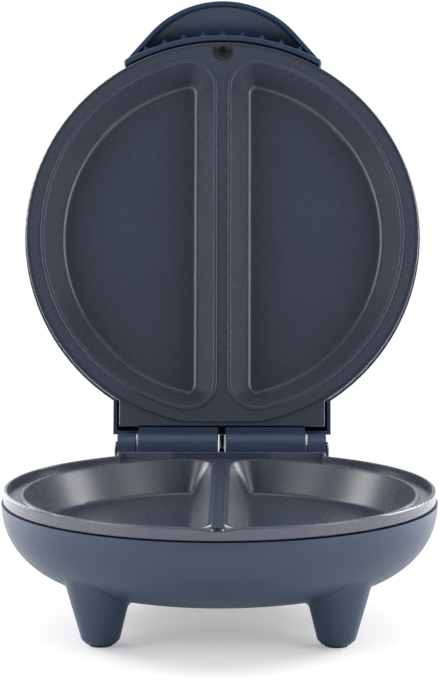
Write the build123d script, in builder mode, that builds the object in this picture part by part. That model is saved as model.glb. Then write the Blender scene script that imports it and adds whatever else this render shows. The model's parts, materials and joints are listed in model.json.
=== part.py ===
from build123d import *
from math import atan, cos, degrees, radians, sin, sqrt, tan
import os

# Electric omelette maker: a clamshell cooker on four legs, modelled with its lid open.
# Millimetres, +X to the right, +Y to the back, +Z up, z = 0 is the worktop.
# Everything is drawn with the lid closed and the cooking plates centred on the Z axis. The lid's pieces are then
# swung open about the hinge, and the whole is moved so that the origin is the centre of its footprint.

# ---- outline of housings and plates: round, with a squared back ----
HOUSING_R = 110.0  # widest radius of both housings
PLATE_STEP = 1.0  # the plates' round edge lies this far inside the housings'
PLATE_TAB_HALF = 56.5  # half width of the squared back of a plate
TAB_STEP = 3.5  # each side of the plates' squared back lies this far inside the housings'
PLATE_BACK_CUT = 2.0  # a plate's straight back edge lies this far inside its radius
BACK_STEP = 4.0  # the housings' flat back lies this far behind the plates'

# ---- plates: two non-stick castings ----
LOWER_PLATE_T = 2.4  # wall of the lower casting
UPPER_PLATE_T = 1.6  # wall of the upper casting, kept light so that the open lid stays balanced
PLATE_SIDE_H = 6.4  # height of the side that shows between the housings
LIP_W = 2.0  # width of the lower plate's raised lip
LIP_H = 3.5  # the lip stands this far above the land
LIP_EDGE_R = 1.0
SIDE_EDGE_R = 0.5  # rounding of a plate's outer corner next to its housing
TONGUE_CLEAR = 0.3  # sideways room of the upper plate's tongue inside the lip
MATING_GAP = 0.4  # between lip and upper plate when closed
LANDS_GAP = 2.0  # between the two lands when closed

# ---- pockets ----
POCKET_MARGIN = 10.4  # land between the plate's edge and a pocket's round side
RIB_HALF = 5.1  # straight side of a pocket, from the middle
POCKET_CORNER_R = 14.0
POCKET_DEPTH = 17.0
POCKET_RUN = 9.4  # how far the sloping wall comes in over the depth
POCKET_FLOOR_FILLET = 4.0
BEAD_W = 2.4  # rounded bead along the pocket's edge
BEAD_H = 0.8

# ---- base housing ----
WALL = 2.4  # moulded wall of the base housing
PLATE_HOUSING_GAP = 0.6  # dark line between plate and housing
FOOT_PROUD = 1.3  # the rubber foot holds the leg's end this far off the worktop
BOWL_BOTTOM_Z = 21.8
BOWL_CURVE_W = 45.0  # width and height of the elliptical side
BOWL_CURVE_H = 38.8
BOWL_COLLAR_H = 1.1  # upright collar above the elliptical side

# ---- legs and feet ----
FRONT_LEG_IN = 30.1  # from the housing's round edge
FRONT_LEG_ANGLE = 44.0  # degrees in front of the X axis
REAR_LEG_X = 39.0
REAR_LEG_IN = 27.0  # from the housing's flat back
LEG_END_R = 8.9
LEG_FLARE = 14.7  # degrees from upright
LEG_LEAN = 1.2  # the leg's root lies this much further out than its end
LEG_ROOT_RISE = 23.2  # the leg runs on inside the bowl to this height above its bottom
LEG_END_WALL = 4.6
LEG_CHAMFER_IN = 2.2
LEG_CHAMFER_UP = 1.5
LEG_FILLET = 4.0
FOOT_R = 6.0
FOOT_SEAT = 1.0  # how deep the foot's pad sits in the leg
FOOT_STEM_R = 2.5
FOOT_BULB_R = 3.3
FOOT_BULB_H = 1.6
FOOT_EDGE = 0.8
FIT = 0.05  # radial room of a fitted piece

# ---- lid housing ----
DOME_CURVE_W = 46.0
DOME_CURVE_H = 32.0
DOME_COLLAR_H = 2.0
LID_WALL = 2.0  # moulded wall of the lid housing

# ---- hinge ----
HINGE_BEHIND_PLATE = 13.7  # axis behind the plates' back edge
HINGE_BELOW_LIP = 1.5
LID_OPEN = 105.0  # degrees
BARREL_R = 10.0
BARREL_HALF = 46.4
LEAD_SLOT = 4.0  # slot through the barrel, for the lid's leads
SLOT_EDGE = 0.7
PIN_RUN = 0.06  # radial room of the lid on the pins
EAR_IN = 47.0
EAR_OUT = 57.0
EAR_R = 9.0
PIN_R = 3.0
PIN_IN = 31.0
PIN_HEAD_R = 4.6
PIN_HEAD_H = 1.6
STOP_X = 11.0
STOP_W = 6.0
STOP_HALF = 1.5
STOP_CLEAR = 0.3
WEB_FRONT_GAP = 0.8
WEB_RISE = 3.1  # underside of the web above the axis
WEB_TOP = 12.8
WEB_BACK = 5.7
EAR_ROOT_H = 17.0

# ---- handle ----
BAND_GAP = 0.5  # between lid housing and band
BAND_T = 3.3
BAND_BOTTOM_ABOVE_AXIS = 3.4
HANDLE_HALF = 55.5
HANDLE_OUT = 23.6  # the tip stands this far beyond the lid housing
HANDLE_REACH = 24.2  # run over which the roof drops from its root to its tip
HANDLE_ARC_R = 54.3
HANDLE_TANGENT = 49.0  # degrees at which the arc runs into straight flanks
HANDLE_BOTTOM_ABOVE_AXIS = 5.6
HANDLE_LIP_W = 2.1
HANDLE_ROOF_T = 2.4
HANDLE_ROOT_RISE = 22.5  # roof's height above the axis, at the dome and at the lip
HANDLE_TIP_RISE = 12.0
HANDLE_CROWN = 1.2
HANDLE_ROOT_SHARE = 0.88  # the ends run inwards to this share of their radius
HANDLE_BROW_IN = 9.0  # the roof's edge is rounded up to this far inside the plate's edge
BAND_ANGLE = 28.6  # half of the band's length, in degrees, to the middle of its round end
GUSSETS = 9
GUSSET_PITCH = 5.55  # degrees
GUSSET_W = 3.4
GUSSET_OUT = 2.4
GUSSET_RAISE = 0.9  # the gussets end this far above the band's edge
BAND_EDGE_R = 1.4
HANDLE_SNUG = 0.15  # between the lid housing and the handle's root
HANDLE_SNUG_RISE = 2.9  # this far above the lid's rim the handle starts to lie close to it
HANDLE_EDGE_R = 2.0
HANDLE_SCREW_RISE = 4.4  # above the lid's rim
HANDLE_SCREW_BOSS_R = 3.4
HANDLE_SCREW_SEAT_IN = 3.6  # the screws' heads sit this far inside the lid's widest radius
HANDLE_SCREW_R = 1.05
HANDLE_SCREW_HEAD_R = 2.2
HANDLE_SCREW_HEAD_H = 1.4
HANDLE_SCREW_L = 6.8
HANDLE_PILOT_OUT = 3.4  # their pilot holes end this far outside it

# ---- hooks at the back of each plate, and the rests under the lower plate ----
HOOK_X = 35.0
HOOK_W = 6.0
HOOK_LEG_IN = 6.5  # front of the hook's leg, from the plate's back edge
HOOK_LEG_T = 2.4
HOOK_TOE_IN = 0.5
HOOK_T = 2.0
HOOK_DROP = 5.0  # toe's outer face below the plate's underside
CATCH_W = 8.0
CATCH_FRONT_GAP = 1.3  # between a hook's leg and the catch's front
CATCH_T = 2.1
HOOK_CLEAR = 0.3
REST_IN = 5.2  # from the housing's round edge
REST_ANGLE = 48.1  # degrees behind the X axis
REST_R = 3.2

# ---- screws ----
SCREW_IN = 5.2  # front screw of the upper plate, from the plate's edge
LOWER_SCREW_IN = 6.8  # front screw of the lower plate
SCREW_HEAD_R = 3.2
SCREW_HEAD_H = 1.7
SCREW_SHANK_R = 1.45
SCREW_HOLE_R = 1.75
PILOT_R = 1.5
CROSS_L = 4.0
CROSS_W = 0.9
CROSS_D = 1.0
PLATE_SCREW_L = 12.0
PAN_SCREW_L = 6.5
BLOCK_SCREW_L = 6.0
BOARD_SCREW_L = 6.0
NOTCH_R = 5.9  # round notch in the land about the front screw
BOSS_R = 3.2
DIP_W = 26.0  # shallow dip in the lower plate's lip, at the front
DIP_D = 2.2

# ---- heating ----
ELEMENT_TUBE_R = 3.25
ELEMENT_RING_R = 62.0
ELEMENT_OPEN = 16.0  # degrees each side of the back where the ring is open
ELEMENT_BEND_R = 9.0
ELEMENT_TAIL_IN = 25.0  # the tails end this far inside the plates' back edge
COLD_PIN_R = 1.2
COLD_PIN_L = 6.0
TOUCH = 0.1  # assembly room on each side of the element
PAN_T = 0.6
PAN_RIM_IN = 17.0  # the pan's rim lies this far inside the plate's edge
PAN_SLOPE = 8.0  # width of the pan's sloping rim
PAN_RIM_H = 5.0
PAN_BACK_IN = 33.0  # the pan is cut off straight this far inside the plates' back edge
POST_X = 30.0
POST_Y = 34.0
POST_R = 3.6
THERMOSTAT_R = 8.0
THERMOSTAT_H = 11.0
THERMOSTAT_HOLE_CLEAR = 1.2
TERMINAL_REACH = 13.0
TERMINAL_W = 4.0
TERMINAL_T = 0.8
TERMINAL_RISE = 1.4  # above the thermostat's lower end
STRAP_W = 9.0
STRAP_T = 0.8
STRAP_FLAT = 13.0  # half length of the strap's low middle
STRAP_JOGGLE = 9.0
STRAP_END = 5.0  # beyond the screw

# ---- electrical pieces in the base ----
BLOCK_IN = 51.0  # middle of the terminal block, from the housing's flat back
BLOCK_SIZE = (34.0, 13.0, 9.0)
BLOCK_EAR = 6.5
BLOCK_EAR_T = 2.5
BLOCK_POLES = 3
BLOCK_STAND_H = 4.0
BLOCK_STAND_R = 3.2
INLET_X = -22.0
INLET_Z = 43.0
INLET_BOSS_R = 9.5
INLET_FACE_IN = 0.4  # the boss's face lies this far inside the housing's flat back
INLET_WALL = 4.0
CORD_R = 3.7
BUSH_R = 6.0
BUSH_FLANGE_R = 8.2
BUSH_FLANGE_T = 2.2
BUSH_INNER_R = 7.2
BUSH_INNER_T = 2.0
BUSH_ROOM_R = 8.0

# ---- leads ----
LEAD_R = 1.0
HINGE_LEAD_R = 0.7  # the two leads inside the sleeve
HINGE_LEAD_X = 0.88
LEAD_PAIR = 3.0  # between the two leads at one pole of the block
SLEEVE_R = 1.6
SLEEVE_STOP = 2.6  # the sleeve stops this far from the hinge axis
SLEEVE_HOLE_R = 2.4
BASE_SLEEVE_FORWARD = 1.7  # the sleeve's bend lies this far in front of the hinge axis
BASE_SLEEVE_DROP = 16.2  # its level run lies this far below the hinge axis
BASE_SLEEVE_END = 13.0  # it ends this far inside the housing's flat back
LID_SLEEVE_FORWARD = 1.2
LID_SLEEVE_RISE = 18.3
LID_SLEEVE_END = 19.0
SLEEVE_LEAD_RUN = 8.0  # straight run of the leads where they leave the base's sleeve
LID_SLEEVE_LEAD_RUN = 7.0
BLOCK_LEAD_RUN = 15.0  # straight run of the leads where they reach the block
PIN_LEAD_RUN = 7.5  # straight run of a lead at a lower cold pin
PIN_LEAD_BACK = 2.5
BLADE_LEAD_RUN = 9.0  # straight run of a lead at a thermostat's blade or an upper cold pin
BLADE_LEAD_IN = 7.0
LEAD_SWING = 13.0  # sideways swing of the lead that passes the block
LEAD_SWING_FRONT = 3.0
LEAD_SWING_RISE = 2.0
LID_LEAD_IN = 7.0
LID_LEAD_RISE = 6.0
LAMP_LEAD_IN = 2.0
LAMP_LEAD_FRONT = 4.0
LAMP_LEAD_RISE = 1.0

# ---- indicator lamps on the lid ----
LAMP_X = 9.0
LAMP_Y = -54.0
LENS_R = 3.5
LENS_PROUD = 1.0
LENS_FLANGE_R = 5.0
LENS_FLANGE_T = 1.2
LENS_WALL = 1.1
NEON_R = 2.1
NEON_L = 9.0
NEON_CLEAR = 0.4
BOARD_SIZE = (44.0, 12.0, 1.6)
BOARD_SCREW_X = 18.0
BOARD_BOSS_R = 3.2
LAMP_LEAD_X = 14.0

# ---- radii, places and heights that follow ----
PLATE_R = HOUSING_R - PLATE_STEP
PLATE_BACK_Y = PLATE_R - PLATE_BACK_CUT
HOUSING_BACK_Y = PLATE_BACK_Y + BACK_STEP
HOUSING_TAB_HALF = PLATE_TAB_HALF + TAB_STEP
POCKET_R = PLATE_R - POCKET_MARGIN
FRONT_LEG_R = HOUSING_R - FRONT_LEG_IN
FRONT_LEG_X = FRONT_LEG_R * cos(radians(FRONT_LEG_ANGLE))
FRONT_LEG_Y = -FRONT_LEG_R * sin(radians(FRONT_LEG_ANGLE))
REAR_LEG_Y = HOUSING_BACK_Y - REAR_LEG_IN
LEG_ROOT_Z = BOWL_BOTTOM_Z + LEG_ROOT_RISE
REST_X = (HOUSING_R - REST_IN) * cos(radians(REST_ANGLE))
REST_Y = (HOUSING_R - REST_IN) * sin(radians(REST_ANGLE))
SCREW_Y = -(PLATE_R - SCREW_IN)
LOWER_SCREW_Y = -(PLATE_R - LOWER_SCREW_IN)
HANDLE_BROW_Y = -(PLATE_R - HANDLE_BROW_IN)
HANDLE_TIP_Y = -(HOUSING_R + HANDLE_OUT)
HANDLE_SCREW_SEAT_R = HOUSING_R - HANDLE_SCREW_SEAT_IN
HANDLE_PILOT_END_R = HOUSING_R + HANDLE_PILOT_OUT
HOOK_FRONT_Y = PLATE_BACK_Y - HOOK_LEG_IN
HOOK_BACK_Y = HOOK_FRONT_Y + HOOK_LEG_T
HOOK_TOE_Y = PLATE_BACK_Y - HOOK_TOE_IN
CATCH_FRONT_Y = HOOK_BACK_Y + CATCH_FRONT_GAP
ELEMENT_TAIL_Y = PLATE_BACK_Y - ELEMENT_TAIL_IN
PAN_RIM_R = PLATE_R - PAN_RIM_IN
PAN_R = PAN_RIM_R - PAN_SLOPE
PAN_BACK_Y = PLATE_BACK_Y - PAN_BACK_IN
THERMOSTAT_X = POST_X  # its strap is held by the two posts on that side
BLOCK_Y = HOUSING_BACK_Y - BLOCK_IN
INLET_FACE_Y = HOUSING_BACK_Y - INLET_FACE_IN
RIM_Z = BOWL_BOTTOM_Z + BOWL_CURVE_H + BOWL_COLLAR_H
PLATE_SIDE_Z = RIM_Z + PLATE_HOUSING_GAP
LIP_TOP_Z = PLATE_SIDE_Z + PLATE_SIDE_H
LAND_Z = LIP_TOP_Z - LIP_H
UPPER_RING_Z = LIP_TOP_Z + MATING_GAP
UPPER_LAND_Z = LAND_Z + LANDS_GAP
UPPER_SIDE_Z = UPPER_RING_Z + PLATE_SIDE_H
LID_RIM_Z = UPPER_SIDE_Z + PLATE_HOUSING_GAP
HANDLE_SNUG_Z = LID_RIM_Z + HANDLE_SNUG_RISE
HANDLE_SCREW_Z = LID_RIM_Z + HANDLE_SCREW_RISE
DOME_TOP_Z = LID_RIM_Z + DOME_COLLAR_H + DOME_CURVE_H
HINGE_Y = PLATE_BACK_Y + HINGE_BEHIND_PLATE
HINGE_Z = LIP_TOP_Z - HINGE_BELOW_LIP
TONGUE_INSET = LIP_W + TONGUE_CLEAR
DRAFT = degrees(atan(POCKET_RUN / POCKET_DEPTH))
LOWER_FLOOR_Z = LAND_Z - POCKET_DEPTH - LOWER_PLATE_T  # underside of the lower pockets
UPPER_FLOOR_Z = UPPER_LAND_Z + POCKET_DEPTH + UPPER_PLATE_T  # back of the upper pockets
LOWER_PAN_Z = LOWER_FLOOR_Z - 2 * (TOUCH + ELEMENT_TUBE_R)
UPPER_PAN_Z = UPPER_FLOOR_Z + 2 * (TOUCH + ELEMENT_TUBE_R)
BOWL_FLOOR_Z = BOWL_BOTTOM_Z + WALL
UPPER_SHEET_Z = UPPER_RING_Z + UPPER_PLATE_T  # back of the upper plate's ring
DOME_ROOF_Z = DOME_TOP_Z - LID_WALL
LEG_END_Z = FOOT_PROUD
HINGE_AXIS = Axis((0, HINGE_Y, HINGE_Z), (1, 0, 0))

BASE_SHOULDER_Z = BOWL_BOTTOM_Z + BOWL_CURVE_H
DOME_SHOULDER_Z = LID_RIM_Z + DOME_COLLAR_H
PAN_UNDER_Z = LOWER_PAN_Z - PAN_T
THERMOSTAT_Z = LOWER_FLOOR_Z - TOUCH - THERMOSTAT_H
BLOCK_Z = BOWL_FLOOR_Z + BLOCK_STAND_H
BLOCK_LEAD_Z = BLOCK_Z + BLOCK_SIZE[2] / 2
STOP_ANGLE = LID_OPEN - 135.0  # direction of the stop ribs, from +Y, with the lid closed
STOP_REACH = sqrt(2) * (HINGE_Y - HOUSING_BACK_Y - STOP_CLEAR) - STOP_HALF
NEON_TOP_Z = DOME_ROOF_Z - LENS_FLANGE_T - NEON_CLEAR
BOARD_TOP_Z = NEON_TOP_Z - NEON_L
BUSH_L = BUSH_FLANGE_T + INLET_WALL + BUSH_INNER_T


# ---- shapes used more than once ----
def level(z, up=1):
    """Plane at height z, facing up or down."""
    return Plane(origin=(0, 0, z), x_dir=(1, 0, 0), z_dir=(0, 0, up))


def plate_outline(inset=0.0):
    """Disc with a squared back and a straight back edge, drawn in by inset."""
    with BuildSketch(mode=Mode.PRIVATE) as outline:
        Circle(PLATE_R)
        with Locations((0, PLATE_BACK_Y / 2)):
            Rectangle(2 * PLATE_TAB_HALF, PLATE_BACK_Y)
        with Locations((0, PLATE_BACK_Y)):
            Rectangle(2 * PLATE_R, PLATE_R, align=(Align.CENTER, Align.MIN), mode=Mode.SUBTRACT)
        if inset:
            offset(amount=-inset, kind=Kind.INTERSECTION)
    return outline.sketch


def tongue_outline(inset=0.0):
    """The upper plate's tongue: a plain disc, cut off straight at the back; drawn in by inset."""
    with BuildSketch(mode=Mode.PRIVATE) as outline:
        Circle(PLATE_R - TONGUE_INSET - inset)
        with Locations((0, PLATE_BACK_Y - TONGUE_INSET - inset)):
            Rectangle(2 * PLATE_R, PLATE_R, align=(Align.CENTER, Align.MIN), mode=Mode.SUBTRACT)
    return outline.sketch


def pocket_outlines(grow=0.0):
    """The two D-shaped pockets, side by side, each grown outwards by grow."""
    with BuildSketch(mode=Mode.PRIVATE) as pockets:
        Circle(POCKET_R)
        with Locations((RIB_HALF, 0)):
            Rectangle(2 * POCKET_R, 2 * POCKET_R, align=(Align.MAX, Align.CENTER), mode=Mode.SUBTRACT)
        fillet(pockets.vertices(), POCKET_CORNER_R)
        if grow:
            offset(amount=grow)
        mirror(about=Plane.YZ)
    return pockets.sketch


def layer(sketch, z0, z1):
    """Straight-sided solid over a flat outline, from height z0 up to z1."""
    with BuildPart(mode=Mode.PRIVATE) as solid:
        with BuildSketch(level(z0)):
            add(sketch)
        extrude(amount=z1 - z0)
    return solid.part


def pocket_forms(z, up, grow, deeper, floor_fillet):
    """Both drafted pockets, running from the land at z downwards or upwards."""
    with BuildPart(mode=Mode.PRIVATE) as forms:
        with BuildSketch(level(z, up)):
            add(pocket_outlines(grow))
        extrude(amount=POCKET_DEPTH + deeper, taper=DRAFT)
        floors = forms.faces().filter_by(Axis.Z).filter_by(lambda f: abs(f.center().Z - z) > POCKET_DEPTH / 2)
        fillet(floors.edges(), floor_fillet)
    return forms.part


def bead_rings(z, up):
    """Rounded bead round the mouth of each pocket."""
    with BuildPart(mode=Mode.PRIVATE) as beads:
        with BuildSketch(level(z, up)):
            add(pocket_outlines(BEAD_W))
            add(pocket_outlines(), mode=Mode.SUBTRACT)
        extrude(amount=BEAD_H)
        crowns = beads.faces().filter_by(Axis.Z).filter_by(lambda f: abs(f.center().Z - z) > BEAD_H / 2)
        fillet(crowns.edges(), BEAD_H * 0.9)
    return beads.part


def shell_form(inset, flat_z, shoulder_z, rim_z, curve_w):
    """Round dish with a squared back: flat end, elliptical side and upright collar, drawn in by inset."""
    up = 1 if rim_z > flat_z else -1
    flat = flat_z + up * inset
    height = abs(shoulder_z - flat)
    with BuildPart(mode=Mode.PRIVATE) as form:
        for reach, plane, block in ((HOUSING_R, Plane.XZ, False), (HOUSING_BACK_Y, Plane.YZ, True)):
            edge = reach - inset
            flat_r = reach - curve_w
            with BuildSketch(plane) as profile:
                with BuildLine():
                    Line((0, flat), (flat_r, flat))
                    if up > 0:
                        EllipticalCenterArc((flat_r, shoulder_z), edge - flat_r, height, 270, arc_size=90)
                    else:
                        EllipticalCenterArc((flat_r, shoulder_z), edge - flat_r, height, 0, arc_size=90)
                    Line((edge, shoulder_z), (edge, rim_z))
                    Line((edge, rim_z), (0, rim_z))
                    Line((0, rim_z), (0, flat))
                make_face()
            if block:
                extrude(amount=HOUSING_TAB_HALF - inset, both=True)
            else:
                revolve(axis=Axis.Z)
    return form.part


def bowl_form(inset, rim_z=RIM_Z):
    """The base housing's dish."""
    return shell_form(inset, BOWL_BOTTOM_Z, BASE_SHOULDER_Z, rim_z, BOWL_CURVE_W)


def dome_form(inset, rim_z=LID_RIM_Z):
    """The lid housing's dish, upside down."""
    return shell_form(inset, DOME_TOP_Z, DOME_SHOULDER_Z, rim_z, DOME_CURVE_W)


def leg_form(x, y, inset):
    """Tapered leg, round at both ends and leaning outwards, drawn in by inset."""
    reach = sqrt(x * x + y * y)
    z0 = LEG_END_Z + (LEG_END_WALL if inset else 0.0)
    lean = LEG_LEAN / (LEG_ROOT_Z - LEG_END_Z)
    with BuildPart(mode=Mode.PRIVATE) as leg:
        for z in (z0, LEG_ROOT_Z):
            rise = z - LEG_END_Z
            out = 1 + lean * rise / reach
            with BuildSketch(Plane.XY.offset(z)):
                with Locations((x * out, y * out)):
                    Circle(LEG_END_R + rise * tan(radians(LEG_FLARE)) - inset)
        loft()
        if not inset:
            chamfer(leg.edges().sort_by(Axis.Z)[0], LEG_CHAMFER_IN, LEG_CHAMFER_UP)
    return leg.part


def screw(length, head_r=SCREW_HEAD_R, head_h=SCREW_HEAD_H, shank_r=SCREW_SHANK_R):
    """Pan-head screw with a cross recess: seat of the head at z = 0, shank downwards."""
    recess = head_r / SCREW_HEAD_R
    with BuildPart(mode=Mode.PRIVATE) as body:
        Cylinder(head_r, head_h, align=(Align.CENTER, Align.CENTER, Align.MIN))
        chamfer(body.edges().filter_by(GeomType.CIRCLE).sort_by(Axis.Z)[-1], head_h * 0.3)
        Cylinder(shank_r, length, align=(Align.CENTER, Align.CENTER, Align.MAX))
        with BuildSketch(Plane.XY.offset(head_h)):
            Rectangle(CROSS_L * recess, CROSS_W)
            Rectangle(CROSS_W, CROSS_L * recess)
        extrude(amount=-CROSS_D * recess, mode=Mode.SUBTRACT)
    return body.part


def screws_at(seats, length, head_up=True):
    """Equal screws, one at each seat (x, y, z)."""
    turn = (0, 0, 0) if head_up else (180, 0, 0)
    with BuildPart(mode=Mode.PRIVATE) as group:
        with Locations(*[Location(seat, turn) for seat in seats]):
            add(screw(length))
    return group.part


def arc_radii(points, share=0.45):
    """Largest bend that the two runs at each corner allow."""
    radii = []
    for here, corner, there in zip(points, points[1:], points[2:]):
        before = Vector(*corner) - Vector(*here)
        after = Vector(*there) - Vector(*corner)
        half_turn = radians(before.get_angle(after)) / 2
        radii.append(share * min(before.length, after.length) / tan(half_turn))
    return radii


def lead_along(name, points, lead_r):
    """Round lead along straight runs joined by tangent arcs."""
    radii = arc_radii(points)
    with BuildPart(mode=Mode.PRIVATE) as lead:
        with BuildLine() as path:
            FilletPolyline(*points, radius=radii)
        with BuildSketch(Plane(origin=path.line @ 0, z_dir=path.line % 0)):
            Circle(lead_r)
        sweep(path=path.line)
    print("lead", name, "r", lead_r, "bends", [round(r, 2) for r in radii])
    return lead.part


def heating_element(centre_z):
    """Open ring of tube with two tails to the back."""
    ring = ELEMENT_RING_R
    a = radians(ELEMENT_OPEN)
    tail_x = ring * sin(a)
    with BuildPart(mode=Mode.PRIVATE) as element:
        with BuildLine(Plane.XY.offset(centre_z)) as path:
            ring_arc = CenterArc((0, 0), ring, 90 + ELEMENT_OPEN, 360 - 2 * ELEMENT_OPEN)
            Line(ring_arc @ 0, (-tail_x, ELEMENT_TAIL_Y))
            Line(ring_arc @ 1, (tail_x, ELEMENT_TAIL_Y))
            corners = path.vertices().filter_by(lambda v: abs(v.Y - ring * cos(a)) < ring / 100)
            fillet(corners, ELEMENT_BEND_R)
        route = path.wires()[0]
        with BuildSketch(Plane(origin=route @ 0, z_dir=route % 0)):
            Circle(ELEMENT_TUBE_R)
        sweep(path=route)
    return element.part


def cold_pins(centre_z):
    """The two pins in the ends of an element."""
    tail_x = ELEMENT_RING_R * sin(radians(ELEMENT_OPEN))
    with BuildPart(mode=Mode.PRIVATE) as pins:
        with Locations(*[Location((side * tail_x, ELEMENT_TAIL_Y, centre_z), (-90, 0, 0)) for side in (-1, 1)]):
            Cylinder(COLD_PIN_R, COLD_PIN_L, align=(Align.CENTER, Align.CENTER, Align.MIN))
    return pins.part


def reflector_pan(z, up, hole_x=None):
    """Thin dish that holds the element against a plate: flat at z, rim towards the plate (up = 1 or -1)."""
    with BuildPart(mode=Mode.PRIVATE) as pan:
        with BuildSketch(Plane.XZ):
            Polygon(
                (0, z),
                (PAN_R, z),
                (PAN_RIM_R, z + up * PAN_RIM_H),
                (PAN_RIM_R + PAN_T, z + up * PAN_RIM_H),
                (PAN_R + PAN_T / 2, z - up * PAN_T),
                (0, z - up * PAN_T),
                align=None,
            )
        revolve(axis=Axis.Z)
        with Locations((0, PAN_BACK_Y, z)):
            Box(3 * PAN_RIM_R, PAN_RIM_R, 4 * PAN_RIM_H, align=(Align.CENTER, Align.MIN, Align.CENTER),
                mode=Mode.SUBTRACT)
        with Locations(*[(x, y, z) for x, y in plate_posts]):
            Cylinder(SCREW_HOLE_R, 4 * PAN_T, mode=Mode.SUBTRACT)
        if hole_x is not None:
            with Locations((hole_x, 0, z)):
                Cylinder(THERMOSTAT_R + THERMOSTAT_HOLE_CLEAR, 4 * PAN_T, mode=Mode.SUBTRACT)
    return pan.part


def plate_hooks(root_z, z, up):
    """Two hooks at the back of a plate, from root_z; z is the plate's side end, up the way they reach."""
    with BuildPart(mode=Mode.PRIVATE) as hooks:
        for side in (-1, 1):
            with BuildSketch(Plane.YZ.offset(side * HOOK_X)):
                Polygon(
                    (HOOK_FRONT_Y, root_z),
                    (HOOK_BACK_Y, root_z),
                    (HOOK_BACK_Y, z + up * (HOOK_DROP - HOOK_T)),
                    (HOOK_TOE_Y, z + up * (HOOK_DROP - HOOK_T)),
                    (HOOK_TOE_Y, z + up * HOOK_DROP),
                    (HOOK_FRONT_Y, z + up * HOOK_DROP),
                    align=None,
                )
            extrude(amount=HOOK_W / 2, both=True)
    return hooks.part


def hook_catches(z, up, wall_y):
    """Two ledges on a housing's back wall that the plate's hooks reach behind."""
    face_z = z + up * (HOOK_DROP - HOOK_T - HOOK_CLEAR)
    with BuildPart(mode=Mode.PRIVATE) as catches:
        for side in (-1, 1):
            with Locations((side * HOOK_X, (CATCH_FRONT_Y + wall_y) / 2, face_z - up * CATCH_T / 2)):
                Box(CATCH_W, wall_y - CATCH_FRONT_Y, CATCH_T)
    return catches.part


plate_posts = [(sx * POST_X, sy * POST_Y) for sx in (-1, 1) for sy in (-1, 1)]
LOWER_COIL_Z = (LOWER_FLOOR_Z + LOWER_PAN_Z) / 2
UPPER_COIL_Z = (UPPER_FLOOR_Z + UPPER_PAN_Z) / 2
TAIL_X = ELEMENT_RING_R * sin(radians(ELEMENT_OPEN))
PIN_END_Y = ELEMENT_TAIL_Y + COLD_PIN_L

# every piece goes into one of these two lists: what stays with the base, and what swings with the lid
base_pieces = []
lid_pieces = []

# ---- lower cooking plate ----
well_grow_lower = LOWER_PLATE_T / cos(radians(DRAFT))
with BuildPart() as lower_plate:
    add(layer(plate_outline(), PLATE_SIDE_Z, LIP_TOP_Z))
    outer_lip = lower_plate.faces().sort_by(Axis.Z)[-1].edges()
    fillet(outer_lip, LIP_EDGE_R)
    fillet(lower_plate.faces().sort_by(Axis.Z)[0].edges(), SIDE_EDGE_R)
    add(layer(plate_outline(LIP_W), LAND_Z, LIP_TOP_Z), mode=Mode.SUBTRACT)
    inner_lip = lower_plate.faces().filter_by(Axis.Z).sort_by(Axis.Z)[-1].inner_wires()[0].edges()
    fillet(inner_lip, LIP_EDGE_R / 2)
    add(pocket_forms(LAND_Z, -1, well_grow_lower, LOWER_PLATE_T, POCKET_FLOOR_FILLET))
    add(bead_rings(LAND_Z, 1))
    add(pocket_forms(LAND_Z, -1, 0.0, 0.0, POCKET_FLOOR_FILLET), mode=Mode.SUBTRACT)
    # posts for the reflector pan
    with Locations(*[(x, y, LOWER_PAN_Z) for x, y in plate_posts]):
        Cylinder(POST_R, LOWER_FLOOR_Z - LOWER_PAN_Z + TOUCH, align=(Align.CENTER, Align.CENTER, Align.MIN))
        Cylinder(PILOT_R, LOWER_FLOOR_Z - LOWER_PAN_Z, align=(Align.CENTER, Align.CENTER, Align.MIN),
                 mode=Mode.SUBTRACT)
    add(plate_hooks(PLATE_SIDE_Z, PLATE_SIDE_Z, -1))
    # front screw hole, and the shallow dip in the lip in front of it
    with Locations((0, LOWER_SCREW_Y, LAND_Z)):
        Cylinder(SCREW_HOLE_R, 4 * LOWER_PLATE_T, mode=Mode.SUBTRACT)
    dip_r = (DIP_W**2 / 4 + DIP_D**2) / (2 * DIP_D)
    with Locations(Location((0, -PLATE_R, LIP_TOP_Z - DIP_D + dip_r), (90, 0, 0))):
        Cylinder(dip_r, 4 * LIP_W, mode=Mode.SUBTRACT)
base_pieces.append(("lower_plate", lower_plate))

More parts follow.
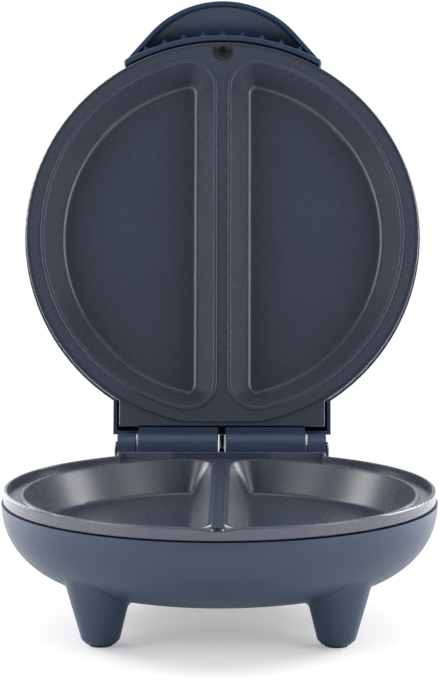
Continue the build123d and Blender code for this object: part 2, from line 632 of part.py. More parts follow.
# ---- upper cooking plate: the same pockets upside down, with a tongue that drops inside the lower lip ----
well_grow_upper = UPPER_PLATE_T / cos(radians(DRAFT))
with BuildSketch(mode=Mode.PRIVATE) as behind_tongue:
    add(tongue_outline(UPPER_PLATE_T))
    with Locations((0, SCREW_Y)):
        Circle(NOTCH_R + UPPER_PLATE_T, mode=Mode.SUBTRACT)
with BuildPart() as upper_plate:
    add(layer(plate_outline(), UPPER_RING_Z, UPPER_SIDE_Z))
    fillet(upper_plate.faces().sort_by(Axis.Z)[0].edges(), LIP_EDGE_R / 2)
    add(layer(tongue_outline(), UPPER_LAND_Z, UPPER_RING_Z))
    add(layer(plate_outline(UPPER_PLATE_T), UPPER_SHEET_Z, UPPER_SIDE_Z), mode=Mode.SUBTRACT)
    add(layer(behind_tongue.sketch, UPPER_LAND_Z + UPPER_PLATE_T, UPPER_SHEET_Z), mode=Mode.SUBTRACT)
    add(pocket_forms(UPPER_LAND_Z, 1, well_grow_upper, UPPER_PLATE_T, POCKET_FLOOR_FILLET))
    add(bead_rings(UPPER_LAND_Z, -1))
    add(pocket_forms(UPPER_LAND_Z, 1, 0.0, 0.0, POCKET_FLOOR_FILLET), mode=Mode.SUBTRACT)
    with Locations(*[(x, y, UPPER_PAN_Z) for x, y in plate_posts]):
        Cylinder(POST_R, UPPER_PAN_Z - UPPER_FLOOR_Z + TOUCH, align=(Align.CENTER, Align.CENTER, Align.MAX))
        Cylinder(PILOT_R, UPPER_PAN_Z - UPPER_FLOOR_Z, align=(Align.CENTER, Align.CENTER, Align.MAX),
                 mode=Mode.SUBTRACT)
    add(plate_hooks(UPPER_SHEET_Z, UPPER_SIDE_Z, 1))
    with Locations((0, SCREW_Y, UPPER_RING_Z)):
        Cylinder(NOTCH_R, 2 * UPPER_PLATE_T, align=(Align.CENTER, Align.CENTER, Align.MAX), mode=Mode.SUBTRACT)
        Cylinder(SCREW_HOLE_R, 4 * UPPER_PLATE_T, mode=Mode.SUBTRACT)
lid_pieces.append(("upper_plate", upper_plate))

# ---- base housing: bowl, legs, hinge ears, bosses and catches ----
LEGS = {
    "front_left": (-FRONT_LEG_X, FRONT_LEG_Y),
    "front_right": (FRONT_LEG_X, FRONT_LEG_Y),
    "rear_left": (-REAR_LEG_X, REAR_LEG_Y),
    "rear_right": (REAR_LEG_X, REAR_LEG_Y),
}
bowl_half_wall = bowl_form(WALL / 2, PLATE_SIDE_Z)
with BuildPart(mode=Mode.PRIVATE) as plate_rests:
    with Locations((0, LOWER_SCREW_Y, BOWL_FLOOR_Z)):
        Cylinder(BOSS_R, PLATE_SIDE_Z - BOWL_FLOOR_Z, align=(Align.CENTER, Align.CENTER, Align.MIN))
    with Locations(*[(side * REST_X, REST_Y, BOWL_FLOOR_Z) for side in (-1, 1)]):
        Cylinder(REST_R, PLATE_SIDE_Z - BOWL_FLOOR_Z, align=(Align.CENTER, Align.CENTER, Align.MIN))
    add(hook_catches(PLATE_SIDE_Z, -1, HOUSING_BACK_Y))
    add(bowl_half_wall, mode=Mode.INTERSECT)

with BuildPart() as base_housing:
    add(bowl_form(0.0))
    for x, y in LEGS.values():
        add(leg_form(x, y, 0.0))
        root = base_housing.edges(Select.LAST).filter_by(lambda e: e.center().Z > BOWL_BOTTOM_Z - 1)
        fillet(root, LEG_FILLET)
    # ears that carry the hinge pins
    for side in (-1, 1):
        with BuildSketch(Plane.YZ.offset(side * (EAR_IN + EAR_OUT) / 2)):
            with Locations((HINGE_Y, HINGE_Z)):
                Circle(EAR_R)
            slant = radians(45)
            Polygon(
                (HOUSING_BACK_Y - WALL, RIM_Z - EAR_ROOT_H),
                (HOUSING_BACK_Y - WALL, RIM_Z),
                (HINGE_Y - EAR_R, HINGE_Z),
                (HINGE_Y + EAR_R, HINGE_Z),
                (HINGE_Y + EAR_R * cos(slant), HINGE_Z - EAR_R * sin(slant)),
                align=None,
            )
        extrude(amount=(EAR_OUT - EAR_IN) / 2, both=True)
    # flat boss at the back for the cord inlet
    with Locations(Location((INLET_X, INLET_FACE_Y, INLET_Z), (90, 0, 0))):
        Cylinder(INLET_BOSS_R, INLET_BOSS_R, align=(Align.CENTER, Align.CENTER, Align.MIN))
    add(bowl_form(WALL), mode=Mode.SUBTRACT)
    for x, y in LEGS.values():
        add(leg_form(x, y, WALL), mode=Mode.SUBTRACT)
    add(plate_rests.part)
    # stands for the terminal block
    block_seats = [(side * (BLOCK_SIZE[0] + BLOCK_EAR) / 2, BLOCK_Y) for side in (-1, 1)]
    with Locations(*[(x, y, BLOCK_Z) for x, y in block_seats]):
        Cylinder(BLOCK_STAND_R, BLOCK_STAND_H + WALL / 2, align=(Align.CENTER, Align.CENTER, Align.MAX))
        Cylinder(PILOT_R, BLOCK_STAND_H, align=(Align.CENTER, Align.CENTER, Align.MAX), mode=Mode.SUBTRACT)
    # inlet bore, and the flat seat for the bush's inner flange
    with Locations(Location((INLET_X, INLET_FACE_Y, INLET_Z), (90, 0, 0))):
        Cylinder(BUSH_R + FIT, 4 * INLET_BOSS_R, mode=Mode.SUBTRACT)
    with Locations(Location((INLET_X, INLET_FACE_Y - INLET_WALL, INLET_Z), (90, 0, 0))):
        Cylinder(BUSH_ROOM_R, 2 * INLET_BOSS_R, align=(Align.CENTER, Align.CENTER, Align.MIN),
                 mode=Mode.SUBTRACT)
    # pilot hole for the front screw, hole for the sleeve, pin bores
    with Locations((0, LOWER_SCREW_Y, PLATE_SIDE_Z)):
        Cylinder(PILOT_R, PLATE_SCREW_L, align=(Align.CENTER, Align.CENTER, Align.MAX), mode=Mode.SUBTRACT)
    with Locations(Location((0, HOUSING_BACK_Y, HINGE_Z - BASE_SLEEVE_DROP), (90, 0, 0))):
        Cylinder(SLEEVE_HOLE_R, 6 * WALL, mode=Mode.SUBTRACT)
    with Locations(Location((0, HINGE_Y, HINGE_Z), (0, 90, 0))):
        Cylinder(PIN_R + FIT, 3 * EAR_OUT, mode=Mode.SUBTRACT)
    # seats and stem holes for the rubber feet
    with Locations(*[(x, y, LEG_END_Z) for x, y in LEGS.values()]):
        Cylinder(FOOT_R + FIT, FOOT_SEAT, align=(Align.CENTER, Align.CENTER, Align.MIN), mode=Mode.SUBTRACT)
        Cylinder(FOOT_STEM_R + FIT, 2 * LEG_END_WALL, mode=Mode.SUBTRACT)
base_pieces.append(("base_housing", base_housing))

# ---- rubber feet: pad in the leg's seat, stem through its end, bulb behind it ----
for place, (x, y) in LEGS.items():
    with BuildPart() as foot:
        with Locations((x, y, 0)):
            Cylinder(FOOT_R, LEG_END_Z + FOOT_SEAT, align=(Align.CENTER, Align.CENTER, Align.MIN))
            fillet(foot.edges().sort_by(Axis.Z)[0], FOOT_EDGE)
            Cylinder(FOOT_STEM_R, LEG_END_Z + LEG_END_WALL + FOOT_BULB_H,
                     align=(Align.CENTER, Align.CENTER, Align.MIN))
        with Locations((x, y, LEG_END_Z + LEG_END_WALL + TOUCH)):
            Cylinder(FOOT_BULB_R, FOOT_BULB_H, align=(Align.CENTER, Align.CENTER, Align.MIN))
    base_pieces.append((f"foot_{place}", foot))

# ---- hinge pins ----
for name, side in (("left", -1), ("right", 1)):
    with BuildPart() as pin:
        with Locations(Location((side * PIN_IN, HINGE_Y, HINGE_Z), (0, side * 90, 0))):
            Cylinder(PIN_R, EAR_OUT - PIN_IN, align=(Align.CENTER, Align.CENTER, Align.MIN))
        with Locations(Location((side * EAR_OUT, HINGE_Y, HINGE_Z), (0, side * 90, 0))):
            Cylinder(PIN_HEAD_R, PIN_HEAD_H, align=(Align.CENTER, Align.CENTER, Align.MIN))
        rim = pin.edges().filter_by(GeomType.CIRCLE).sort_by(lambda e: abs(e.center().X))[-1]
        chamfer(rim, PIN_HEAD_H * 0.4)
    base_pieces.append((f"hinge_pin_{name}", pin))

# ---- heating under the lower plate ----
with BuildPart() as lower_element:
    add(heating_element(LOWER_COIL_Z))
with BuildPart() as lower_cold_pins:
    add(cold_pins(LOWER_COIL_Z))
with BuildPart() as lower_pan:
    add(reflector_pan(LOWER_PAN_Z, 1, THERMOSTAT_X))
with BuildPart() as thermostat:
    with Locations((THERMOSTAT_X, 0, THERMOSTAT_Z)):
        Cylinder(THERMOSTAT_R, THERMOSTAT_H, align=(Align.CENTER, Align.CENTER, Align.MIN))
    with Locations((THERMOSTAT_X, 0, THERMOSTAT_Z + TERMINAL_RISE)):
        Box(2 * TERMINAL_REACH, TERMINAL_W, TERMINAL_T)
with BuildPart() as thermostat_strap:
    end_y = POST_Y + STRAP_END
    high, low = PAN_UNDER_Z, THERMOSTAT_Z
    upper_line = [
        (-end_y, high),
        (-STRAP_FLAT - STRAP_JOGGLE, high),
        (-STRAP_FLAT, low),
        (STRAP_FLAT, low),
        (STRAP_FLAT + STRAP_JOGGLE, high),
        (end_y, high),
    ]
    with BuildSketch(Plane.YZ.offset(THERMOSTAT_X)):
        Polygon(*upper_line, *[(y, z - STRAP_T) for y, z in reversed(upper_line)], align=None)
    extrude(amount=STRAP_W / 2, both=True)
    with Locations((THERMOSTAT_X, POST_Y, high), (THERMOSTAT_X, -POST_Y, high)):
        Cylinder(SCREW_HOLE_R, 4 * STRAP_T, mode=Mode.SUBTRACT)
strap_seats = [(x, y, PAN_UNDER_Z - (STRAP_T if x > 0 else 0.0)) for x, y in plate_posts]
with BuildPart() as lower_pan_screws:
    add(screws_at(strap_seats, PAN_SCREW_L, head_up=False))
with BuildPart() as lower_plate_screw:
    add(screws_at([(0, LOWER_SCREW_Y, LAND_Z)], PLATE_SCREW_L, head_up=True))
base_pieces += [
    ("lower_element", lower_element),
    ("lower_cold_pins", lower_cold_pins),
    ("lower_pan", lower_pan),
    ("thermostat", thermostat),
    ("thermostat_strap", thermostat_strap),
    ("lower_pan_screws", lower_pan_screws),
    ("lower_plate_screw", lower_plate_screw),
]

# ---- terminal block ----
with BuildPart() as terminal_block:
    with Locations((0, BLOCK_Y, BLOCK_Z)):
        Box(*BLOCK_SIZE, align=(Align.CENTER, Align.CENTER, Align.MIN))
        Box(BLOCK_SIZE[0] + 2 * BLOCK_EAR, BLOCK_SIZE[1], BLOCK_EAR_T,
            align=(Align.CENTER, Align.CENTER, Align.MIN))
    with Locations((0, BLOCK_Y, BLOCK_Z + BLOCK_SIZE[2])):
        with GridLocations(BLOCK_SIZE[0] / BLOCK_POLES, 0, BLOCK_POLES, 1):
            Cylinder(SCREW_HOLE_R, BLOCK_SIZE[2] / 2, align=(Align.CENTER, Align.CENTER, Align.MAX),
                     mode=Mode.SUBTRACT)
    with Locations(*[(x, y, BLOCK_Z) for x, y in block_seats]):
        Cylinder(SCREW_HOLE_R, 4 * BLOCK_EAR_T, mode=Mode.SUBTRACT)
with BuildPart() as terminal_block_screws:
    add(screws_at([(x, y, BLOCK_Z + BLOCK_EAR_T) for x, y in block_seats], BLOCK_SCREW_L))

# ---- cord inlet bush ----
with BuildPart() as cord_bush:
    with Locations(Location((INLET_X, INLET_FACE_Y + BUSH_FLANGE_T, INLET_Z), (90, 0, 0))):
        Cylinder(BUSH_R, BUSH_L, align=(Align.CENTER, Align.CENTER, Align.MIN))
        Cylinder(BUSH_FLANGE_R, BUSH_FLANGE_T, align=(Align.CENTER, Align.CENTER, Align.MIN))
    with Locations(Location((INLET_X, INLET_FACE_Y - INLET_WALL, INLET_Z), (90, 0, 0))):
        Cylinder(BUSH_INNER_R, BUSH_INNER_T, align=(Align.CENTER, Align.CENTER, Align.MIN))
    fillet(cord_bush.edges().filter_by(GeomType.CIRCLE).sort_by(Axis.Y)[-1], BUSH_FLANGE_T / 2)
    with Locations(Location((INLET_X, INLET_FACE_Y, INLET_Z), (90, 0, 0))):
        Cylinder(CORD_R, 4 * BUSH_L, mode=Mode.SUBTRACT)
base_pieces += [
    ("terminal_block", terminal_block),
    ("terminal_block_screws", terminal_block_screws),
    ("cord_bush", cord_bush),
]

# ---- leads in the base ----
sleeve_y = HINGE_Y - BASE_SLEEVE_FORWARD
sleeve_z = HINGE_Z - BASE_SLEEVE_DROP
sleeve_end_y = HOUSING_BACK_Y - BASE_SLEEVE_END
block_front_y = BLOCK_Y - BLOCK_SIZE[1] / 2
block_back_y = BLOCK_Y + BLOCK_SIZE[1] / 2
pole_x = BLOCK_SIZE[0] / BLOCK_POLES
blade_z = THERMOSTAT_Z + TERMINAL_RISE
with BuildPart() as base_sleeve:
    add(lead_along("base_sleeve", [
        (0, HINGE_Y, HINGE_Z - SLEEVE_STOP),
        (0, sleeve_y, sleeve_z),
        (0, sleeve_end_y, sleeve_z),
    ], SLEEVE_R))
with BuildPart() as base_hinge_leads:
    for side in (-1, 1):
        add(lead_along("base_hinge_leads", [
            (side * HINGE_LEAD_X, sleeve_end_y, sleeve_z),
            (side * HINGE_LEAD_X, sleeve_end_y - SLEEVE_LEAD_RUN, sleeve_z),
            (side * (pole_x - LEAD_PAIR), block_back_y + BLOCK_LEAD_RUN, BLOCK_LEAD_Z),
            (side * (pole_x - LEAD_PAIR), block_back_y, BLOCK_LEAD_Z),
        ], HINGE_LEAD_R))
with BuildPart() as lead_block_to_element:
    add(lead_along("lead_block_to_element", [
        (-TAIL_X, PIN_END_Y, LOWER_COIL_Z),
        (-TAIL_X, PIN_END_Y + PIN_LEAD_RUN, LOWER_COIL_Z),
        (-pole_x, PIN_END_Y + PIN_LEAD_BACK, BLOCK_LEAD_Z),
        (-pole_x, block_back_y, BLOCK_LEAD_Z),
    ], LEAD_R))
with BuildPart() as lead_block_to_thermostat:
    add(lead_along("lead_block_to_thermostat", [
        (pole_x, block_front_y, BLOCK_LEAD_Z),
        (pole_x, block_front_y / 2, BLOCK_LEAD_Z),
        (THERMOSTAT_X - TERMINAL_REACH - BLADE_LEAD_RUN, 0, blade_z),
        (THERMOSTAT_X - TERMINAL_REACH, 0, blade_z),
    ], LEAD_R))
with BuildPart() as lead_thermostat_to_element:
    add(lead_along("lead_thermostat_to_element", [
        (THERMOSTAT_X + TERMINAL_REACH, 0, blade_z),
        (THERMOSTAT_X + TERMINAL_REACH + BLADE_LEAD_RUN, 0, blade_z),
        (THERMOSTAT_X + TERMINAL_REACH + BLADE_LEAD_IN, block_back_y, BLOCK_LEAD_Z),
        (TAIL_X + LEAD_SWING, PIN_END_Y - LEAD_SWING_FRONT, BLOCK_LEAD_Z + LEAD_SWING_RISE),
        (TAIL_X, PIN_END_Y + BLADE_LEAD_RUN, LOWER_COIL_Z),
        (TAIL_X, PIN_END_Y, LOWER_COIL_Z),
    ], LEAD_R))
base_pieces += [
    ("base_sleeve", base_sleeve),
    ("base_hinge_leads", base_hinge_leads),
    ("lead_block_to_element", lead_block_to_element),
    ("lead_block_to_thermostat", lead_block_to_thermostat),
    ("lead_thermostat_to_element", lead_thermostat_to_element),
]

# ---- lid housing: dome, hinge barrels, stop ribs, bosses and catches ----
handle_screw_angles = [-90 - 2 * GUSSET_PITCH, -90 + 2 * GUSSET_PITCH]
handle_screw_axes = [
    Plane(origin=(0, 0, HANDLE_SCREW_Z), x_dir=(0, 0, 1), z_dir=(cos(radians(a)), sin(radians(a)), 0))
    for a in handle_screw_angles
]
dome_half_wall = dome_form(LID_WALL / 2, UPPER_SHEET_Z)
with BuildPart(mode=Mode.PRIVATE) as lid_bosses:
    with Locations((0, SCREW_Y, UPPER_SHEET_Z)):
        Cylinder(BOSS_R, DOME_TOP_Z - UPPER_SHEET_Z, align=(Align.CENTER, Align.CENTER, Align.MIN))
    with Locations(*[(side * BOARD_SCREW_X, LAMP_Y, BOARD_TOP_Z) for side in (-1, 1)]):
        Cylinder(BOARD_BOSS_R, DOME_TOP_Z - BOARD_TOP_Z, align=(Align.CENTER, Align.CENTER, Align.MIN))
    add(hook_catches(UPPER_SIDE_Z, 1, HOUSING_BACK_Y))
    for axis in handle_screw_axes:
        with Locations(axis.offset(HANDLE_SCREW_SEAT_R)):
            Cylinder(HANDLE_SCREW_BOSS_R, LID_WALL * 2, align=(Align.CENTER, Align.CENTER, Align.MIN))
    add(dome_half_wall, mode=Mode.INTERSECT)

with BuildPart() as lid_housing:
    add(dome_form(0.0))
    add(dome_form(LID_WALL), mode=Mode.SUBTRACT)
    for side in (-1, 1):
        with BuildPart(mode=Mode.PRIVATE) as barrel:
            with Locations(Location((side * LEAD_SLOT / 2, HINGE_Y, HINGE_Z), (0, side * 90, 0))):
                Cylinder(BARREL_R, BARREL_HALF - LEAD_SLOT / 2, align=(Align.CENTER, Align.CENTER, Align.MIN))
            ends = barrel.edges().filter_by(GeomType.CIRCLE)
            chamfer(ends, SLOT_EDGE)
        add(barrel.part)
        web_x = (LEAD_SLOT / 2, BARREL_HALF - SLOT_EDGE)
        web_y = PLATE_BACK_Y + WEB_FRONT_GAP
        with Locations((side * sum(web_x) / 2, web_y, HINGE_Z + WEB_RISE)):
            Box(web_x[1] - web_x[0], HINGE_Y - web_y - WEB_BACK, WEB_TOP - WEB_RISE,
                align=(Align.CENTER, Align.MIN, Align.MIN))
        with BuildSketch(Plane.YZ.offset(side * STOP_X)):
            with Locations((HINGE_Y, HINGE_Z)):
                Rectangle(STOP_REACH, 2 * STOP_HALF, rotation=STOP_ANGLE, align=(Align.MIN, Align.CENTER))
        extrude(amount=STOP_W / 2, both=True)
        with Locations(Location((side * (PIN_IN - LEAD_SLOT / 2), HINGE_Y, HINGE_Z), (0, side * 90, 0))):
            Cylinder(PIN_R + PIN_RUN, BARREL_HALF, align=(Align.CENTER, Align.CENTER, Align.MIN),
                     mode=Mode.SUBTRACT)
    add(lid_bosses.part)
    with Locations((0, SCREW_Y, UPPER_SHEET_Z)):
        Cylinder(PILOT_R, PLATE_SCREW_L, align=(Align.CENTER, Align.CENTER, Align.MIN), mode=Mode.SUBTRACT)
    with Locations(*[(side * BOARD_SCREW_X, LAMP_Y, BOARD_TOP_Z) for side in (-1, 1)]):
        Cylinder(PILOT_R, BOARD_SCREW_L, align=(Align.CENTER, Align.CENTER, Align.MIN), mode=Mode.SUBTRACT)
    with Locations(*[(side * LAMP_X, LAMP_Y, DOME_TOP_Z) for side in (-1, 1)]):
        Cylinder(LENS_R + FIT, 4 * LID_WALL, mode=Mode.SUBTRACT)
    with Locations(Location((0, HOUSING_BACK_Y, HINGE_Z + LID_SLEEVE_RISE), (90, 0, 0))):
        Cylinder(SLEEVE_HOLE_R, 6 * LID_WALL, mode=Mode.SUBTRACT)
    for axis in handle_screw_axes:
        with Locations(axis.offset(HANDLE_SCREW_SEAT_R)):
            Cylinder(HANDLE_SCREW_R + SCREW_HOLE_R - SCREW_SHANK_R, 2 * HANDLE_SCREW_L, mode=Mode.SUBTRACT)
lid_pieces.append(("lid_housing", lid_housing))

# ---- lid handle: hollow crescent with a band along the lid and short gussets behind it ----
def handle_outline(inset=0.0):
    """The handle seen from above: round front, straight flanks, radial ends; drawn in by inset."""
    centre_y = HANDLE_TIP_Y + HANDLE_ARC_R
    a = radians(HANDLE_TANGENT)
    knee_x, knee_y = HANDLE_ARC_R * sin(a), centre_y - HANDLE_ARC_R * cos(a)
    end_y = knee_y + (HANDLE_HALF - knee_x) * tan(a)
    root_x, root_y = HANDLE_HALF * HANDLE_ROOT_SHARE, end_y * HANDLE_ROOT_SHARE
    with BuildSketch(mode=Mode.PRIVATE) as outline:
        with BuildLine():
            ThreePointArc((-knee_x, knee_y), (0, HANDLE_TIP_Y), (knee_x, knee_y))
            Polyline((knee_x, knee_y), (HANDLE_HALF, end_y), (root_x, root_y), (-root_x, root_y),
                     (-HANDLE_HALF, end_y), (-knee_x, knee_y))
        make_face()
        if inset:
            offset(amount=-inset, kind=Kind.INTERSECTION)
    return outline.sketch


def under_handle_roof(drop):
    """Everything below the handle's crowned roof, lowered by drop."""
    slope = (HANDLE_ROOT_RISE - HANDLE_TIP_RISE) / HANDLE_REACH
    inner, outer = PLATE_R - HANDLE_REACH, PLATE_R + 1.5 * HANDLE_REACH
    heights = [HINGE_Z + HANDLE_ROOT_RISE - drop - slope * (r - PLATE_R) for r in (inner, outer)]
    with BuildPart(mode=Mode.PRIVATE) as space:
        with BuildSketch(Plane.XZ):
            with BuildLine():
                ThreePointArc((inner, heights[0]), ((inner + outer) / 2, sum(heights) / 2 + HANDLE_CROWN),
                              (outer, heights[1]))
                Polyline((outer, heights[1]), (outer, 0), (inner, 0), (inner, heights[0]))
            make_face()
        revolve(axis=Axis.Z)
    return space.part


handle_bottom_z = HINGE_Z + HANDLE_BOTTOM_ABOVE_AXIS
band_bottom_z = HINGE_Z + BAND_BOTTOM_ABOVE_AXIS
band_in_r = HOUSING_R + BAND_GAP
band_out_r = band_in_r + BAND_T
with BuildSketch(mode=Mode.PRIVATE) as grip_recess:
    add(handle_outline(HANDLE_LIP_W))
    Circle(band_out_r, mode=Mode.SUBTRACT)
with BuildPart(mode=Mode.PRIVATE) as recess:
    add(layer(grip_recess.sketch, 0, DOME_TOP_Z))
    add(under_handle_roof(HANDLE_ROOF_T), mode=Mode.INTERSECT)
with BuildPart(mode=Mode.PRIVATE) as band:
    with BuildSketch(level(band_bottom_z)):
        with BuildLine(mode=Mode.PRIVATE):
            band_arc = CenterArc((0, 0), (band_in_r + band_out_r) / 2, -90 - BAND_ANGLE, 2 * BAND_ANGLE)
        SlotArc(band_arc, BAND_T)
    extrude(amount=DOME_TOP_Z - band_bottom_z)
    fillet(band.faces().sort_by(Axis.Z)[0].edges(), BAND_EDGE_R)
    with BuildSketch(level(band_bottom_z + GUSSET_RAISE)):
        turns = [-90 + (i - (GUSSETS - 1) / 2) * GUSSET_PITCH for i in range(GUSSETS)]
        with Locations(*[Location((0, 0), turn) for turn in turns]):
            Polygon(
                (band_out_r - BAND_T / 2, -GUSSET_W / 2),
                (band_out_r, -GUSSET_W / 2),
                (band_out_r + GUSSET_OUT, 0),
                (band_out_r, GUSSET_W / 2),
                (band_out_r - BAND_T / 2, GUSSET_W / 2),
                align=None,
            )
    extrude(amount=DOME_TOP_Z - band_bottom_z - GUSSET_RAISE)
    add(under_handle_roof(HANDLE_ROOF_T / 2), mode=Mode.INTERSECT)

with BuildPart() as lid_handle:
    add(layer(handle_outline(), handle_bottom_z, DOME_TOP_Z))
    add(under_handle_roof(0.0), mode=Mode.INTERSECT)
    brow = lid_handle.faces().sort_by(Axis.Z)[-1].edges().filter_by(lambda e: e.center().Y < HANDLE_BROW_Y)
    fillet(brow, HANDLE_EDGE_R)
    add(recess.part, mode=Mode.SUBTRACT)
    with BuildSketch(level(0)):
        Circle(band_in_r)
    extrude(amount=HANDLE_SNUG_Z, mode=Mode.SUBTRACT)
    add(dome_form(-HANDLE_SNUG), mode=Mode.SUBTRACT)
    add(band.part)
    for axis in handle_screw_axes:
        with Locations(axis.offset(HANDLE_PILOT_END_R)):
            Cylinder(HANDLE_SCREW_R + FIT, HANDLE_PILOT_END_R - HANDLE_SCREW_SEAT_R,
                     align=(Align.CENTER, Align.CENTER, Align.MAX), mode=Mode.SUBTRACT)
with BuildPart() as handle_screws:
    handle_screw = screw(HANDLE_SCREW_L, HANDLE_SCREW_HEAD_R, HANDLE_SCREW_HEAD_H, HANDLE_SCREW_R)
    for axis in handle_screw_axes:
        inward = Plane(origin=axis.offset(HANDLE_SCREW_SEAT_R).origin, x_dir=axis.x_dir, z_dir=-axis.z_dir)
        with Locations(inward):
            add(handle_screw)
lid_pieces += [("lid_handle", lid_handle), ("handle_screws", handle_screws)]

# ---- heating over the upper plate ----
with BuildPart() as upper_element:
    add(heating_element(UPPER_COIL_Z))
with BuildPart() as upper_cold_pins:
    add(cold_pins(UPPER_COIL_Z))
with BuildPart() as upper_pan:
    add(reflector_pan(UPPER_PAN_Z, -1))
with BuildPart() as upper_pan_screws:
    add(screws_at([(x, y, UPPER_PAN_Z + PAN_T) for x, y in plate_posts], PAN_SCREW_L))
with BuildPart() as upper_plate_screw:
    add(screws_at([(0, SCREW_Y, UPPER_RING_Z)], PLATE_SCREW_L, head_up=False))
lid_pieces += [
    ("upper_element", upper_element),
    ("upper_cold_pins", upper_cold_pins),
    ("upper_pan", upper_pan),
    ("upper_pan_screws", upper_pan_screws),
    ("upper_plate_screw", upper_plate_screw),
]

# ---- indicator lamps ----
for name, side in (("left", -1), ("right", 1)):
    with BuildPart() as lens:
        with Locations((side * LAMP_X, LAMP_Y, DOME_ROOF_Z)):
            Cylinder(LENS_R, LID_WALL + LENS_PROUD, align=(Align.CENTER, Align.CENTER, Align.MIN))
            fillet(lens.edges().sort_by(Axis.Z)[-1], LENS_PROUD * 0.6)
            Cylinder(LENS_FLANGE_R, LENS_FLANGE_T, align=(Align.CENTER, Align.CENTER, Align.MAX))
        with Locations((side * LAMP_X, LAMP_Y, DOME_ROOF_Z - LENS_FLANGE_T)):
            Cylinder(LENS_R - LENS_WALL, LENS_FLANGE_T + LID_WALL, mode=Mode.SUBTRACT,
                     align=(Align.CENTER, Align.CENTER, Align.MIN))
    lid_pieces.append((f"lamp_lens_{name}", lens))
with BuildPart() as lamp_neons:
    with Locations(*[(side * LAMP_X, LAMP_Y, BOARD_TOP_Z) for side in (-1, 1)]):
        Cylinder(NEON_R, NEON_L, align=(Align.CENTER, Align.CENTER, Align.MIN))
    fillet(lamp_neons.edges().group_by(Axis.Z)[-1], NEON_R * 0.8)
with BuildPart() as lamp_board:
    with Locations((0, LAMP_Y, BOARD_TOP_Z)):
        Box(*BOARD_SIZE, align=(Align.CENTER, Align.CENTER, Align.MAX))
    with Locations(*[(side * BOARD_SCREW_X, LAMP_Y, BOARD_TOP_Z) for side in (-1, 1)]):
        Cylinder(SCREW_HOLE_R, 4 * BOARD_SIZE[2], mode=Mode.SUBTRACT)
with BuildPart() as lamp_board_screws:
    seats = [(side * BOARD_SCREW_X, LAMP_Y, BOARD_TOP_Z - BOARD_SIZE[2]) for side in (-1, 1)]
    add(screws_at(seats, BOARD_SCREW_L, head_up=False))
lid_pieces += [
    ("lamp_neons", lamp_neons),
    ("lamp_board", lamp_board),
    ("lamp_board_screws", lamp_board_screws),
]

# ---- leads in the lid ----
lid_sleeve_y = HINGE_Y - LID_SLEEVE_FORWARD
lid_sleeve_z = HINGE_Z + LID_SLEEVE_RISE
lid_sleeve_end_y = HOUSING_BACK_Y - LID_SLEEVE_END
board_mid_z = BOARD_TOP_Z - BOARD_SIZE[2] / 2
lamp_lead_y = PIN_END_Y - COLD_PIN_L / 2
with BuildPart() as lid_sleeve:
    add(lead_along("lid_sleeve", [
        (0, HINGE_Y, HINGE_Z + SLEEVE_STOP),
        (0, lid_sleeve_y, lid_sleeve_z),
        (0, lid_sleeve_end_y, lid_sleeve_z),
    ], SLEEVE_R))
with BuildPart() as lid_heater_leads:
    for side in (-1, 1):
        add(lead_along("lid_heater_leads", [
            (side * HINGE_LEAD_X, lid_sleeve_end_y, lid_sleeve_z),
            (side * HINGE_LEAD_X, lid_sleeve_end_y - LID_SLEEVE_LEAD_RUN, lid_sleeve_z),
            (side * (TAIL_X - LID_LEAD_IN), PIN_END_Y, UPPER_COIL_Z + LID_LEAD_RISE),
            (side * TAIL_X, PIN_END_Y + BLADE_LEAD_RUN, UPPER_COIL_Z),
            (side * TAIL_X, PIN_END_Y, UPPER_COIL_Z),
        ], HINGE_LEAD_R))
with BuildPart() as lid_lamp_leads:
    for side in (-1, 1):
        add(lead_along("lid_lamp_leads", [
            (side * LAMP_LEAD_X, LAMP_Y + BOARD_SIZE[1] / 2, board_mid_z),
            (side * LAMP_LEAD_X, LAMP_Y + 2 * BOARD_SIZE[1], board_mid_z),
            (side * (LAMP_LEAD_X - LAMP_LEAD_IN), PAN_BACK_Y - LAMP_LEAD_FRONT, board_mid_z + LAMP_LEAD_RISE),
            (side * TAIL_X, lamp_lead_y, board_mid_z + LAMP_LEAD_RISE),
            (side * TAIL_X, lamp_lead_y, UPPER_COIL_Z + COLD_PIN_R + FIT),
        ], HINGE_LEAD_R))
lid_pieces += [
    ("lid_sleeve", lid_sleeve),
    ("lid_heater_leads", lid_heater_leads),
    ("lid_lamp_leads", lid_lamp_leads),
]

# ---- open the lid, put the origin under the middle of the whole, and write the files ----
os.makedirs("parts", exist_ok=True)
for name, piece in lid_pieces:
    piece.part = piece.part.rotate(HINGE_AXIS, -LID_OPEN)
boxes = [piece.part.bounding_box() for name, piece in base_pieces + lid_pieces]
shift_y = -(min(b.min.Y for b in boxes) + max(b.max.Y for b in boxes)) / 2
for name, piece in base_pieces + lid_pieces:
    piece.part = piece.part.moved(Location((0, shift_y, 0)))
    piece.part.label = name
    export_step(piece.part, f"parts/{name}.step")

print("shift y", round(shift_y, 4), "hinge", round(HINGE_Y + shift_y, 4), round(HINGE_Z, 4))
print("size", [round(max(getattr(b.max, c) for b in boxes) - min(getattr(b.min, c) for b in boxes), 3)
               for c in "XYZ"])
print("cord bore at", INLET_X, round(INLET_FACE_Y + BUSH_FLANGE_T + shift_y, 4), INLET_Z, "length", BUSH_L)
for place, (x, y) in LEGS.items():
    print("foot", place, x, round(y + shift_y, 4))
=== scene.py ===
"""Studio scene of an electric omelette maker with its lid open.

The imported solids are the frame. This file dresses them: every piece gets a finish that is worked out from the
real material and how its surface was made, and the studio gives the light, the floor and the camera.
Metres, +X to the right, +Y to the back, +Z up.
"""

from __future__ import annotations

import json
import logging
import math
from dataclasses import dataclass
from enum import Enum

